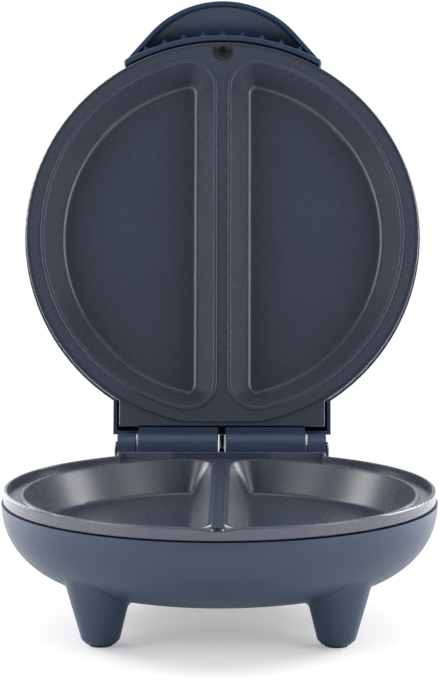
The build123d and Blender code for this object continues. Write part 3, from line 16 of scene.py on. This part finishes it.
import bpy
import numpy as np
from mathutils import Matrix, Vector


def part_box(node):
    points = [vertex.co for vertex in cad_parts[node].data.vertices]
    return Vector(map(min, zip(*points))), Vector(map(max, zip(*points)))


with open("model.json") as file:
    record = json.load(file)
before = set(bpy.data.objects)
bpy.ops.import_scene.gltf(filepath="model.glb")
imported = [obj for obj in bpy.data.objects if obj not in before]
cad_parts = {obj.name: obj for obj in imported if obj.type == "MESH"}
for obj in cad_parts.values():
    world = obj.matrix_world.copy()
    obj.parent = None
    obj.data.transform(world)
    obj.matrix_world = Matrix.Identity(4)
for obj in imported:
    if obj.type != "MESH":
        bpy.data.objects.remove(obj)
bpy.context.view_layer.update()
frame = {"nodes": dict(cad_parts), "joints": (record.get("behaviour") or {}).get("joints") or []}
LOG = logging.getLogger("omelette_maker")
MM = 0.001
Sockets = dict[str | int, object]

# Sockets of a Mix node, which have no names of their own
MIX_SHARE = 0
MIX_VALUE_A, MIX_VALUE_B = 2, 3
MIX_COLOUR_A, MIX_COLOUR_B = 6, 7
MIX_COLOUR_OUT = 2


# ---- colour and node helpers ----
def linear(hex_colour: str, gain: float = 1.0) -> tuple[float, float, float, float]:
    """Turn an sRGB hex colour into a linear one.

    Args:
        hex_colour: six hex digits, such as "4A5A6C".
        gain: factor on the linear colour, for a paler or deeper shade of it.

    Returns:
        Red, green, blue and alpha, linear.
    """
    channels = np.array([int(hex_colour[i : i + 2], 16) for i in (0, 2, 4)]) / 255
    low, high = channels / 12.92, ((channels + 0.055) / 1.055) ** 2.4
    red, green, blue = gain * np.where(channels <= 0.04045, low, high)
    return (float(red), float(green), float(blue), 1.0)


def scale_of(size_mm: float) -> float:
    """Turn the size of a pattern's features into a texture scale.

    Args:
        size_mm: size of one feature, as it is drawn on the surface.

    Returns:
        Features per metre.
    """
    return 1 / (size_mm * MM)


def add_node(
    tree: bpy.types.NodeTree, kind: str, sockets: Sockets | None = None, **settings: object
) -> bpy.types.Node:
    """Add one node with its settings and links.

    Args:
        tree: node tree that gets the node.
        kind: the node's type name.
        sockets: input name or number to a value, or to the output socket that feeds it.
        settings: the node's own options.

    Returns:
        The new node.
    """
    node = tree.nodes.new(kind)
    for name, value in settings.items():
        setattr(node, name, value)
    for name, value in (sockets or {}).items():
        if isinstance(value, bpy.types.NodeSocket):
            tree.links.new(value, node.inputs[name])
        else:
            node.inputs[name].default_value = value
    return node


@dataclass
class Surface:
    """A material under construction: its Principled shader, and the place on the piece that its patterns use.

    Attributes:
        name: the real material and how its surface was made.
    """

    name: str

    def __post_init__(self) -> None:
        """Start the material."""
        self.material = bpy.data.materials.new(self.name)
        self.material.use_nodes = True
        self.tree = self.material.node_tree
        self.tree.nodes.clear()
        self.shader = add_node(self.tree, "ShaderNodeBsdfPrincipled")
        self.output = add_node(
            self.tree, "ShaderNodeOutputMaterial", {"Surface": self.shader.outputs["BSDF"]}
        )
        self.coordinates = add_node(self.tree, "ShaderNodeTexCoord")
        self.place = self.coordinates.outputs["Object"]

    def add(self, kind: str, sockets: Sockets | None = None, **settings: object) -> bpy.types.Node:
        """Add one node to this material.

        Args:
            kind: the node's type name.
            sockets: input name or number to a value or a feeding socket.
            settings: the node's own options.

        Returns:
            The new node.
        """
        return add_node(self.tree, kind, sockets, **settings)

    def finish(self, **values: object) -> bpy.types.Material:
        """Feed the shader and hand over the material.

        Args:
            values: shader input, written with underscores for spaces, to a value or a feeding socket.

        Returns:
            The finished material.
        """
        for key, value in values.items():
            name = key.replace("_", " ")
            if isinstance(value, bpy.types.NodeSocket):
                self.tree.links.new(value, self.shader.inputs[name])
            else:
                self.shader.inputs[name].default_value = value
        return self.material


# ---- finishes ----
@dataclass(frozen=True)
class MouldedPlastic:
    """Injection-moulded plastic with a spark-eroded grain: matte, with soft white sheen towards the outline.

    The grain of such a mould is about 0.15 mm, too fine to show here, so it is drawn at grain_mm.

    Attributes:
        name: name of the material.
        colour: colour of the pigmented plastic.
        roughness: middle of its gloss.
        grain_mm: size of the grain.
        grain_height_mm: height of the grain.
        mottle_mm: size of the faint clouds in the pigment.
        smudge_mm: size of the marks that hands leave in the gloss.
        mottling: how much paler or deeper the clouds are.
        gloss_spread: how far the gloss departs from its middle.
        noise_span: span that the sum of two noises fills.
        ior: index of refraction of polypropylene.
    """

    name: str
    colour: str
    roughness: float
    grain_mm: float
    grain_height_mm: float
    mottle_mm: float = 60.0
    smudge_mm: float = 24.0
    mottling: float = 0.06
    gloss_spread: float = 0.05
    noise_span: tuple[float, float] = (0.6, 1.4)
    ior: float = 1.49

    def build(self) -> bpy.types.Material:
        """Mix faint mottling of the pigment, grain in the bump and handling smudges in the gloss.

        Returns:
            The material.
        """
        surface = Surface(self.name)
        mottle = surface.add(
            "ShaderNodeTexNoise", {"Vector": surface.place, "Scale": scale_of(self.mottle_mm), "Detail": 2.0}
        )
        grain = surface.add(
            "ShaderNodeTexNoise", {"Vector": surface.place, "Scale": scale_of(self.grain_mm), "Detail": 3.0}
        )
        smudge = surface.add(
            "ShaderNodeTexNoise",
            {"Vector": surface.place, "Scale": scale_of(self.smudge_mm), "Detail": 4.0, "Roughness": 0.6},
        )
        colour = surface.add(
            "ShaderNodeMix",
            {
                MIX_SHARE: mottle.outputs[0],
                MIX_COLOUR_A: linear(self.colour, 1 - self.mottling),
                MIX_COLOUR_B: linear(self.colour, 1 + self.mottling),
            },
            data_type="RGBA",
        )
        both = surface.add("ShaderNodeMath", {0: grain.outputs[0], 1: smudge.outputs[0]}, operation="ADD")
        roughness = surface.add(
            "ShaderNodeMapRange",
            {
                "Value": both.outputs[0],
                "From Min": self.noise_span[0],
                "From Max": self.noise_span[1],
                "To Min": self.roughness - self.gloss_spread,
                "To Max": self.roughness + self.gloss_spread,
            },
        )
        bump = surface.add(
            "ShaderNodeBump",
            {"Height": grain.outputs[0], "Distance": self.grain_height_mm * MM, "Strength": 1.0},
        )
        return surface.finish(
            Base_Color=colour.outputs[MIX_COLOUR_OUT],
            Roughness=roughness.outputs[0],
            Normal=bump.outputs[0],
            IOR=self.ior,
        )


@dataclass(frozen=True)
class Disc:
    """Where a round plate lies, for finishes that differ between its face and its side.

    Attributes:
        centre: middle of the plate, in metres.
        tilt: degrees by which the plate's face is turned about the X axis from facing upwards.
        radius: radius of the plate's side, in metres.
        side_mm: how far in from the radius the side begins to count, and where it counts in full.
        lean: share of the surface's direction along the axis where it is face, and where it is side.
    """

    centre: tuple[float, float, float]
    tilt: float
    radius: float
    side_mm: tuple[float, float] = (0.9, 0.5)
    lean: tuple[float, float] = (0.8, 0.5)

    def side_mask(self, surface: Surface) -> bpy.types.NodeSocket:
        """Tell the plate's upright side from its face.

        Args:
            surface: material that asks.

        Returns:
            Socket that is 1 on the outermost upright side and 0 elsewhere.
        """
        turn = math.radians(self.tilt)
        axis = (0.0, math.sin(turn), math.cos(turn))
        vector = "ShaderNodeVectorMath"
        offset = surface.add(vector, {0: surface.place, 1: self.centre}, operation="SUBTRACT")
        along = surface.add(vector, {0: offset.outputs[0], 1: axis}, operation="DOT_PRODUCT")
        lift = surface.add(vector, {0: axis, "Scale": along.outputs["Value"]}, operation="SCALE")
        flat = surface.add(vector, {0: offset.outputs[0], 1: lift.outputs[0]}, operation="SUBTRACT")
        reach = surface.add(vector, {0: flat.outputs[0]}, operation="LENGTH")
        outer = surface.add(
            "ShaderNodeMapRange",
            {
                "Value": reach.outputs["Value"],
                "From Min": self.radius - self.side_mm[0] * MM,
                "From Max": self.radius - self.side_mm[1] * MM,
            },
        )
        normal = surface.coordinates.outputs["Normal"]
        facing = surface.add(vector, {0: normal, 1: axis}, operation="DOT_PRODUCT")
        upright = surface.add("ShaderNodeMath", {0: facing.outputs["Value"]}, operation="ABSOLUTE")
        steep = surface.add(
            "ShaderNodeMapRange",
            {"Value": upright.outputs[0], "From Min": self.lean[0], "From Max": self.lean[1]},
        )
        mask = surface.add("ShaderNodeMath", {0: outer.outputs[0], 1: steep.outputs[0]}, operation="MULTIPLY")
        return mask.outputs[0]


@dataclass(frozen=True)
class NonStickCoating:
    """Sprayed and baked non-stick coat on cast aluminium.

    The eye sees a cool graphite grey with the finest speckle and a satin gloss that draws light lines along
    beads and rounded corners. The coat thins out on the plate's side, which is paler and streaky.

    Attributes:
        name: name of the material.
        colour: colour of the coat.
        side_colour: colour of the plate's side.
        roughness: middle of the coat's gloss.
        disc: where the plate lies.
        peel_mm: size of the orange peel that spraying leaves.
        fleck_mm: size of the flecks, drawn coarser than the real ones, which are too fine to show here.
        streak_mm: size of the streaks on the side.
        cloud_mm: size of the areas with more and fewer flecks.
        peel_height_mm: height of the orange peel.
        face_shades: darkest and palest share of the colour.
        side_shades: darkest and palest share of the side's colour.
        gloss_spread: how far the gloss departs from its middle.
        ior: index of refraction of the coat.
    """

    name: str
    colour: str
    side_colour: str
    roughness: float
    disc: Disc
    peel_mm: float = 0.9
    fleck_mm: float = 0.8
    streak_mm: float = 2.5
    cloud_mm: float = 45.0
    peel_height_mm: float = 0.03
    face_shades: tuple[float, float] = (0.93, 1.25)
    side_shades: tuple[float, float] = (0.80, 1.20)
    gloss_spread: float = 0.04
    ior: float = 1.5

    def build(self) -> bpy.types.Material:
        """Mix speckle from a cell pattern, orange peel in the bump and a paler side.

        Returns:
            The material.
        """
        surface = Surface(self.name)
        peel = surface.add(
            "ShaderNodeTexNoise", {"Vector": surface.place, "Scale": scale_of(self.peel_mm), "Detail": 2.0}
        )
        cloud = surface.add(
            "ShaderNodeTexNoise", {"Vector": surface.place, "Scale": scale_of(self.cloud_mm), "Detail": 3.0}
        )
        cells = surface.add(
            "ShaderNodeTexVoronoi", {"Vector": surface.place, "Scale": scale_of(self.fleck_mm)}, feature="F1"
        )
        chance = surface.add("ShaderNodeSeparateColor", {"Color": cells.outputs["Color"]})
        speckle = surface.add(
            "ShaderNodeMath", {0: chance.outputs[0], 1: cloud.outputs[0]}, operation="MULTIPLY"
        )
        face = surface.add(
            "ShaderNodeMix",
            {
                MIX_SHARE: speckle.outputs[0],
                MIX_COLOUR_A: linear(self.colour, self.face_shades[0]),
                MIX_COLOUR_B: linear(self.colour, self.face_shades[1]),
            },
            data_type="RGBA",
        )
        streak = surface.add(
            "ShaderNodeTexNoise",
            {"Vector": surface.place, "Scale": scale_of(self.streak_mm), "Detail": 5.0, "Roughness": 0.7},
        )
        side = surface.add(
            "ShaderNodeMix",
            {
                MIX_SHARE: streak.outputs[0],
                MIX_COLOUR_A: linear(self.side_colour, self.side_shades[0]),
                MIX_COLOUR_B: linear(self.side_colour, self.side_shades[1]),
            },
            data_type="RGBA",
        )
        colour = surface.add(
            "ShaderNodeMix",
            {
                MIX_SHARE: self.disc.side_mask(surface),
                MIX_COLOUR_A: face.outputs[MIX_COLOUR_OUT],
                MIX_COLOUR_B: side.outputs[MIX_COLOUR_OUT],
            },
            data_type="RGBA",
        )
        gloss = surface.add(
            "ShaderNodeMapRange",
            {
                "Value": peel.outputs[0],
                "To Min": self.roughness - self.gloss_spread,
                "To Max": self.roughness + self.gloss_spread,
            },
        )
        bump = surface.add(
            "ShaderNodeBump",
            {"Height": peel.outputs[0], "Distance": self.peel_height_mm * MM, "Strength": 1.0},
        )
        return surface.finish(
            Base_Color=colour.outputs[MIX_COLOUR_OUT],
            Roughness=gloss.outputs[0],
            Normal=bump.outputs[0],
            IOR=self.ior,
        )


@dataclass(frozen=True)
class Metal:
    """Bare or plated metal with fine handling marks and faint clouding of its colour.

    Attributes:
        name: name of the material.
        colour: colour of the metal.
        roughness: middle of its gloss.
        mark_mm: size of the marks.
        mark_height_mm: height of the marks.
        shades: darkest and palest share of the colour.
        gloss_spread: how far the gloss departs from its middle.
    """

    name: str
    colour: str
    roughness: float
    mark_mm: float
    mark_height_mm: float = 0.02
    shades: tuple[float, float] = (0.90, 1.05)
    gloss_spread: float = 0.08

    def build(self) -> bpy.types.Material:
        """Mix marks in the colour, the gloss and the bump.

        Returns:
            The material.
        """
        surface = Surface(self.name)
        marks = surface.add(
            "ShaderNodeTexNoise", {"Vector": surface.place, "Scale": scale_of(self.mark_mm), "Detail": 4.0}
        )
        colour = surface.add(
            "ShaderNodeMix",
            {
                MIX_SHARE: marks.outputs[0],
                MIX_COLOUR_A: linear(self.colour, self.shades[0]),
                MIX_COLOUR_B: linear(self.colour, self.shades[1]),
            },
            data_type="RGBA",
        )
        roughness = surface.add(
            "ShaderNodeMapRange",
            {
                "Value": marks.outputs[0],
                "To Min": self.roughness - self.gloss_spread,
                "To Max": self.roughness + self.gloss_spread,
            },
        )
        bump = surface.add(
            "ShaderNodeBump",
            {"Height": marks.outputs[0], "Distance": self.mark_height_mm * MM, "Strength": 1.0},
        )
        return surface.finish(
            Base_Color=colour.outputs[MIX_COLOUR_OUT],
            Roughness=roughness.outputs[0],
            Normal=bump.outputs[0],
            Metallic=1.0,
        )


@dataclass(frozen=True)
class Coat:
    """Any other coating or moulding: one colour with faint mottling and fine bump.

    Attributes:
        name: name of the material.
        colour: colour of the material.
        roughness: middle of its gloss.
        grain_mm: size of the grain.
        ior: index of refraction.
        transmission: share of the light that goes through.
        grain_height_mm: height of the grain.
        shades: darkest and palest share of the colour.
        gloss_spread: how far the gloss departs from its middle.
        least_roughness: smoothest that the surface gets.
    """

    name: str
    colour: str
    roughness: float
    grain_mm: float
    ior: float = 1.5
    transmission: float = 0.0
    grain_height_mm: float = 0.03
    shades: tuple[float, float] = (0.90, 1.15)
    gloss_spread: float = 0.05
    least_roughness: float = 0.02

    def build(self) -> bpy.types.Material:
        """Mix mottling in the colour and the gloss, and grain in the bump.

        Returns:
            The material.
        """
        surface = Surface(self.name)
        grain = surface.add(
            "ShaderNodeTexNoise", {"Vector": surface.place, "Scale": scale_of(self.grain_mm), "Detail": 3.0}
        )
        colour = surface.add(
            "ShaderNodeMix",
            {
                MIX_SHARE: grain.outputs[0],
                MIX_COLOUR_A: linear(self.colour, self.shades[0]),
                MIX_COLOUR_B: linear(self.colour, self.shades[1]),
            },
            data_type="RGBA",
        )
        roughness = surface.add(
            "ShaderNodeMapRange",
            {
                "Value": grain.outputs[0],
                "To Min": max(self.roughness - self.gloss_spread, self.least_roughness),
                "To Max": self.roughness + self.gloss_spread,
            },
        )
        bump = surface.add(
            "ShaderNodeBump",
            {"Height": grain.outputs[0], "Distance": self.grain_height_mm * MM, "Strength": 1.0},
        )
        return surface.finish(
            Base_Color=colour.outputs[MIX_COLOUR_OUT],
            Roughness=roughness.outputs[0],
            Normal=bump.outputs[0],
            IOR=self.ior,
            Transmission_Weight=self.transmission,
        )


@dataclass(frozen=True)
class WovenSleeve:
    """Braided glass-fibre tube, varnished black: a fine diamond weave that the eye sees as a dull sparkle.

    Attributes:
        name: name of the material.
        colour: colour of the varnish.
        weave_mm: width of one strand.
        wave_length: length of one band of the wave texture at scale 1, which is about 2 pi / 20.
        braid_angle: degrees by which each set of strands leans.
        weave_height_mm: height of the weave.
        shades: darkest and palest share of the colour.
        roughness: gloss of the varnish.
    """

    name: str
    colour: str
    weave_mm: float
    wave_length: float = 0.3
    braid_angle: float = 35.0
    weave_height_mm: float = 0.15
    shades: tuple[float, float] = (0.7, 1.8)
    roughness: float = 0.6

    def build(self) -> bpy.types.Material:
        """Cross two sets of bands, which make the weave's colour and bump.

        Returns:
            The material.
        """
        surface = Surface(self.name)
        sets = []
        for turn in (math.radians(self.braid_angle), -math.radians(self.braid_angle)):
            lean = surface.add("ShaderNodeMapping", {"Vector": surface.place, "Rotation": (turn, 0.0, turn)})
            bands = surface.add(
                "ShaderNodeTexWave",
                {"Vector": lean.outputs[0], "Scale": self.wave_length * scale_of(self.weave_mm)},
            )
            sets.append(bands)
        weave = surface.add(
            "ShaderNodeMath", {0: sets[0].outputs["Fac"], 1: sets[1].outputs["Fac"]}, operation="MULTIPLY"
        )
        colour = surface.add(
            "ShaderNodeMix",
            {
                MIX_SHARE: weave.outputs[0],
                MIX_COLOUR_A: linear(self.colour, self.shades[0]),
                MIX_COLOUR_B: linear(self.colour, self.shades[1]),
            },
            data_type="RGBA",
        )
        bump = surface.add(
            "ShaderNodeBump",
            {"Height": weave.outputs[0], "Distance": self.weave_height_mm * MM, "Strength": 1.0},
        )
        return surface.finish(
            Base_Color=colour.outputs[MIX_COLOUR_OUT], Roughness=self.roughness, Normal=bump.outputs[0]
        )


Finish = MouldedPlastic | NonStickCoating | Metal | Coat | WovenSleeve


class Stock(Enum):
    """Materials that the sub-assemblies draw on."""

    # slate blue, matte, paler towards its outline
    HOUSING = MouldedPlastic("polypropylene_slate_blue_spark_grain", "203148", 0.42, 0.7, 0.035)
    # near black with a dull glint
    BLACK_STEEL = Coat("black_oxide_steel", "101012", 0.34, 0.5)
    # pale grey metal, faintly cloudy
    BRIGHT_STEEL = Metal("zinc_plated_steel", "9A9B9E", 0.32, 2.0)
    # black and dull
    RUBBER = Coat("moulded_black_rubber", "0F0F11", 0.72, 0.6)
    # grey with a straw tint
    ELEMENT_STEEL = Metal("stainless_sheath_heat_tinted", "857C74", 0.35, 6.0)
    # soft silver
    ELEMENT_ALUMINIUM = Metal("drawn_aluminium_sheath", "B4B5B7", 0.38, 2.5)
    # satin silver grey, cloudy
    PAN_STEEL = Metal("aluminised_steel_sheet", "A9AAAC", 0.40, 5.0)
    # brighter silver, cloudy
    PAN_ALUMINIUM = Metal("mill_finish_aluminium_sheet", "C2C3C5", 0.30, 5.0)
    # brown black, half gloss
    BAKELITE = Coat("moulded_bakelite", "1B1917", 0.45, 0.8)
    # chalky cream
    CERAMIC = Coat("unglazed_steatite", "DAD6CB", 0.60, 0.5)
    # milky off-white
    SILICONE = Coat("silicone_lead_cover", "D8D5CE", 0.50, 0.6)
    # black with a dull sparkle
    GLASS_SLEEVE = WovenSleeve("varnished_glass_fibre_braid", "1C1C1E", 0.8)
    # clear glossy plastic in its own tint
    RED_LENS = Coat("tinted_polycarbonate_red", "C0201A", 0.18, 3.0, 1.58, 0.5)
    GREEN_LENS = Coat("tinted_polycarbonate_green", "1F8F3F", 0.18, 3.0, 1.58, 0.5)
    # thin clear glass
    NEON_GLASS = Coat("lamp_glass", "EFE6DC", 0.08, 3.0, 1.5, 0.9)
    # dull brown board
    LAMINATE = Coat("paper_laminate_board", "7A4A26", 0.60, 0.8)


# ---- sub-assemblies ----
@dataclass
class SubAssembly:
    """Pieces of the appliance that belong together.

    Attributes:
        title: name used in the log.
    """

    title: str

    def dress(self, finish: Finish | Stock, pieces: list[str]) -> None:
        """Give pieces their finish and report them.

        Args:
            finish: finish that builds the material, or a shared one.
            pieces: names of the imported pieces.
        """
        material = (finish.value if isinstance(finish, Stock) else finish).build()
        for name in pieces:
            data = frame["nodes"][name].data
            data.materials.clear()
            data.materials.append(material)
            LOG.info("%s: %s is %s", self.title, name, material.name)


@dataclass
class BaseShell(SubAssembly):
    """Bowl on four legs, with its rubber feet and the bush for the cord."""

    title: str = "base shell"

    def build(self) -> None:
        """Dress the bowl, the feet and the bush."""
        feet = [name for name in frame["nodes"] if name.startswith("foot_")]
        self.dress(Stock.HOUSING, ["base_housing"])
        self.dress(Stock.RUBBER, [*feet, "cord_bush"])


@dataclass
class LidShell(SubAssembly):
    """Domed lid with its crescent handle and the handle's screws."""

    title: str = "lid shell"

    def build(self) -> None:
        """Dress the dome, the handle and its screws."""
        self.dress(Stock.HOUSING, ["lid_housing", "lid_handle"])
        self.dress(Stock.BRIGHT_STEEL, ["handle_screws"])


@dataclass
class Hinge(SubAssembly):
    """The two pins that the lid turns on."""

    title: str = "hinge"

    def build(self) -> None:
        """Dress the pins."""
        self.dress(Stock.BLACK_STEEL, ["hinge_pin_left", "hinge_pin_right"])


@dataclass
class CookingPlate(SubAssembly):
    """One plate with its front screw.

    Attributes:
        plate: name of the plate.
        disc: where the plate lies.
        colour: colour of its coat.
        side_colour: colour of its side.
        roughness: gloss of its coat.
    """

    plate: str
    disc: Disc
    colour: str = "363C48"
    side_colour: str = "4C4F5B"
    roughness: float = 0.27

    def build(self) -> None:
        """Dress the plate and its screw."""
        coat = NonStickCoating(
            f"non_stick_coat_on_{self.plate}", self.colour, self.side_colour, self.roughness, self.disc
        )
        self.dress(coat, [self.plate])
        self.dress(Stock.BLACK_STEEL, [f"{self.plate}_screw"])


@dataclass
class Heater(SubAssembly):
    """Tubular element, its cold pins, and the pan that holds it against a plate.

    Attributes:
        side: "lower" or "upper".
        sheath: what the element is made of.
        pan: what the pan is made of.
    """

    side: str
    sheath: Stock
    pan: Stock

    def build(self) -> None:
        """Dress the element, the pins, the pan and its screws."""
        self.dress(self.sheath, [f"{self.side}_element"])
        self.dress(self.pan, [f"{self.side}_pan"])
        self.dress(Stock.BRIGHT_STEEL, [f"{self.side}_cold_pins", f"{self.side}_pan_screws"])


@dataclass
class Wiring(SubAssembly):
    """Thermostat, terminal block and leads."""

    title: str = "wiring"

    def build(self) -> None:
        """Dress the electrical pieces."""
        self.dress(Stock.BAKELITE, ["thermostat"])
        self.dress(Stock.CERAMIC, ["terminal_block"])
        self.dress(Stock.BRIGHT_STEEL, ["thermostat_strap", "terminal_block_screws"])
        self.dress(Stock.SILICONE, [name for name in frame["nodes"] if "lead" in name])
        self.dress(Stock.GLASS_SLEEVE, ["base_sleeve", "lid_sleeve"])


@dataclass
class IndicatorLamps(SubAssembly):
    """Red and green lens on the dome, with the lamps and the board behind them."""

    title: str = "indicator lamps"

    def build(self) -> None:
        """Dress lenses, lamps, board and its screws."""
        self.dress(Stock.RED_LENS, ["lamp_lens_left"])
        self.dress(Stock.GREEN_LENS, ["lamp_lens_right"])
        self.dress(Stock.NEON_GLASS, ["lamp_neons"])
        self.dress(Stock.LAMINATE, ["lamp_board"])
        self.dress(Stock.BRIGHT_STEEL, ["lamp_board_screws"])


# ---- studio ----
@dataclass(frozen=True)
class Softbox:
    """Rectangular lamp that looks at the object.

    Attributes:
        name: name of the lamp.
        place: where it hangs, in metres.
        size: width and height, in metres.
        radiance: how bright its face looks, where 1 is a white page.
    """

    name: str
    place: tuple[float, float, float]
    size: tuple[float, float]
    radiance: float

    def hang(self, aim: tuple[float, float, float]) -> None:
        """Hang the lamp.

        Args:
            aim: point that it looks at.
        """
        data = bpy.data.lights.new(self.name, "AREA")
        data.shape = "RECTANGLE"
        data.size, data.size_y = self.size
        data.energy = self.radiance * math.pi * self.size[0] * self.size[1]  # watts for that radiance
        lamp = bpy.data.objects.new(self.name, data)
        lamp.location = self.place
        lamp.rotation_euler = (Vector(aim) - Vector(self.place)).to_track_quat("-Z", "Y").to_euler()
        bpy.context.scene.collection.objects.link(lamp)


@dataclass
class Studio:
    """White sweep, dim room in front, bright panels on both sides, and the camera.

    Attributes:
        camera_place: where the camera stands.
        pitch_down: degrees by which it looks down.
        yaw_left: degrees by which it looks to the left.
        focal_px: its focal length, in pixels of the picture.
        image_width_px: width of the picture.
        sensor_mm: width of its sensor.
        clip_end: how far it sees.
        floor_half: half the floor's width.
        floor_colour: colour of the paper.
        floor_roughness: gloss of the paper.
        floor_glow: share of plain white that camera rays see in the floor near the object: painted light, which
            lifts the object's shadow.
        shadow_reach: distance beyond which the floor is plain white.
        shadow_core: share of that distance at which it starts to fade.
        front_level: brightness of the room in front.
        back_level: brightness of the room at the sides and behind.
        room_turn: share of a direction along +Y where the room starts and ends to brighten.
        aim: point that the lamps look at.
        softboxes: the lamps.
    """

    camera_place: tuple[float, float, float] = (0.01342, -1.42728, 0.3164)
    pitch_down: float = 7.20
    yaw_left: float = 0.55
    focal_px: float = 2765.0
    image_width_px: float = 440.0
    sensor_mm: float = 36.0
    clip_end: float = 50.0
    floor_half: float = 6.0
    floor_colour: str = "F4F4F4"
    floor_roughness: float = 0.9
    floor_glow: float = 0.30
    shadow_reach: float = 0.45
    shadow_core: float = 0.35
    front_level: float = 0.10
    back_level: float = 1.0
    room_turn: tuple[float, float] = (-0.7, 0.3)
    aim: tuple[float, float, float] = (0.0, 0.0, 0.12)
    softboxes: tuple[Softbox, ...] = (
        Softbox("front_panel_left", (-1.0, -0.62, 0.50), (0.55, 1.0), 5.5),
        Softbox("front_panel_right", (1.0, -0.62, 0.50), (0.55, 1.0), 5.5),
        Softbox("rear_panel_left", (-0.95, 0.65, 0.50), (0.9, 1.0), 7.5),
        Softbox("rear_panel_right", (0.95, 0.65, 0.50), (0.9, 1.0), 7.5),
        Softbox("overhead", (0.0, 0.1, 1.5), (1.2, 0.8), 1.0),
    )

    def place_camera(self) -> None:
        """Stand the camera where the reference view was taken from."""
        data = bpy.data.cameras.new("camera")
        data.sensor_fit = "HORIZONTAL"
        data.sensor_width = self.sensor_mm
        data.lens = self.sensor_mm * self.focal_px / self.image_width_px
        data.clip_end = self.clip_end
        camera = bpy.data.objects.new("camera", data)
        camera.location = self.camera_place
        camera.rotation_euler = (math.radians(90 - self.pitch_down), 0.0, math.radians(self.yaw_left))
        bpy.context.scene.collection.objects.link(camera)
        bpy.context.scene.camera = camera

    def lay_floor(self) -> None:
        """Lay a pale floor with the object's shadow, lifted by painted light near the object, fading into the
        white behind it.
        """
        half = self.floor_half
        mesh = bpy.data.meshes.new("floor")
        corners = np.array([(-half, -half, 0.0), (half, -half, 0.0), (half, half, 0.0), (-half, half, 0.0)])
        mesh.from_pydata(corners.tolist(), [], [(0, 1, 2, 3)])
        floor = bpy.data.objects.new("floor", mesh)
        bpy.context.scene.collection.objects.link(floor)
        surface = Surface("white_paper_sweep")
        surface.finish(Base_Color=linear(self.floor_colour), Roughness=self.floor_roughness)
        reach = surface.add("ShaderNodeVectorMath", {0: surface.place}, operation="LENGTH")
        glow = surface.add(
            "ShaderNodeMapRange",
            {
                "Value": reach.outputs["Value"],
                "From Min": self.shadow_reach * self.shadow_core,
                "From Max": self.shadow_reach,
                "To Min": self.floor_glow,
                "To Max": 1.0,
            },
            interpolation_type="SMOOTHSTEP",
        )
        # camera rays see plain white mixed into the lit floor: painted light that lifts the shadow near the
        # object, and plain white beyond shadow_reach
        rays = surface.add("ShaderNodeLightPath")
        share = surface.add(
            "ShaderNodeMath", {0: glow.outputs[0], 1: rays.outputs["Is Camera Ray"]}, operation="MULTIPLY"
        )
        white = surface.add("ShaderNodeEmission", {"Color": (1, 1, 1, 1), "Strength": 1.0})
        blend = surface.add(
            "ShaderNodeMixShader", {0: share.outputs[0], 1: surface.shader.outputs[0], 2: white.outputs[0]}
        )
        surface.tree.links.new(blend.outputs[0], surface.output.inputs["Surface"])
        floor.data.materials.append(surface.material)

    def light_world(self) -> None:
        """Surround the object: white for the camera, dim in front and brighter behind for the light."""
        world = bpy.data.worlds.new("studio")
        bpy.context.scene.world = world
        world.use_nodes = True
        tree = world.node_tree
        tree.nodes.clear()
        direction = add_node(tree, "ShaderNodeTexCoord").outputs["Generated"]
        parts = add_node(tree, "ShaderNodeSeparateXYZ", {"Vector": direction})
        level = add_node(
            tree,
            "ShaderNodeMapRange",
            {
                "Value": parts.outputs["Y"],
                "From Min": self.room_turn[0],
                "From Max": self.room_turn[1],
                "To Min": self.front_level,
                "To Max": self.back_level,
            },
            interpolation_type="SMOOTHSTEP",
        )
        rays = add_node(tree, "ShaderNodeLightPath")
        strength = add_node(
            tree,
            "ShaderNodeMix",
            {MIX_SHARE: rays.outputs["Is Camera Ray"], MIX_VALUE_A: level.outputs[0], MIX_VALUE_B: 1.0},
            data_type="FLOAT",
        )
        background = add_node(
            tree, "ShaderNodeBackground", {"Color": (1, 1, 1, 1), "Strength": strength.outputs[0]}
        )
        add_node(tree, "ShaderNodeOutputWorld", {"Surface": background.outputs[0]})

    def build(self) -> None:
        """Set up the whole studio."""
        self.place_camera()
        self.lay_floor()
        self.light_world()
        for softbox in self.softboxes:
            softbox.hang(self.aim)
        bpy.context.scene.view_settings.view_transform = "Standard"
        LOG.info("studio ready")


# ---- where the plates lie ----
def lower_disc() -> Disc:
    """Find the lower plate from its box: its width gives the radius, its front edge the centre.

    Returns:
        Where the lower plate lies.
    """
    low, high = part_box("lower_plate")
    radius = (high[0] - low[0]) / 2
    return Disc((0.0, low[1] + radius, high[2]), 0.0, radius)


def upper_disc() -> Disc:
    """Find the upper plate: it lies where the lower one would, swung open about the hinge.

    Returns:
        Where the upper plate lies.
    """
    joint = frame["joints"][0]
    opened = joint["range_deg"][1]  # the range starts with the lid open, so its end says how far
    hinge = Vector(joint["pos_m"])
    below = lower_disc()
    arm = Vector(below.centre) - hinge
    turn = math.radians(-opened)
    y = arm.y * math.cos(turn) - arm.z * math.sin(turn)
    z = arm.y * math.sin(turn) + arm.z * math.cos(turn)
    return Disc((0.0, hinge.y + y, hinge.z + z), opened, below.radius)


def main() -> None:
    """Dress the appliance piece by piece and set up the studio."""
    logging.basicConfig(level=logging.INFO, format="%(name)s %(message)s")
    BaseShell().build()
    CookingPlate("lower plate", "lower_plate", lower_disc()).build()
    Heater("lower heater", "lower", Stock.ELEMENT_STEEL, Stock.PAN_STEEL).build()
    Wiring().build()
    Hinge().build()
    LidShell().build()
    CookingPlate("upper plate", "upper_plate", upper_disc()).build()
    Heater("upper heater", "upper", Stock.ELEMENT_ALUMINIUM, Stock.PAN_ALUMINIUM).build()
    IndicatorLamps().build()
    Studio().build()


if __name__ == "__main__":
    main()
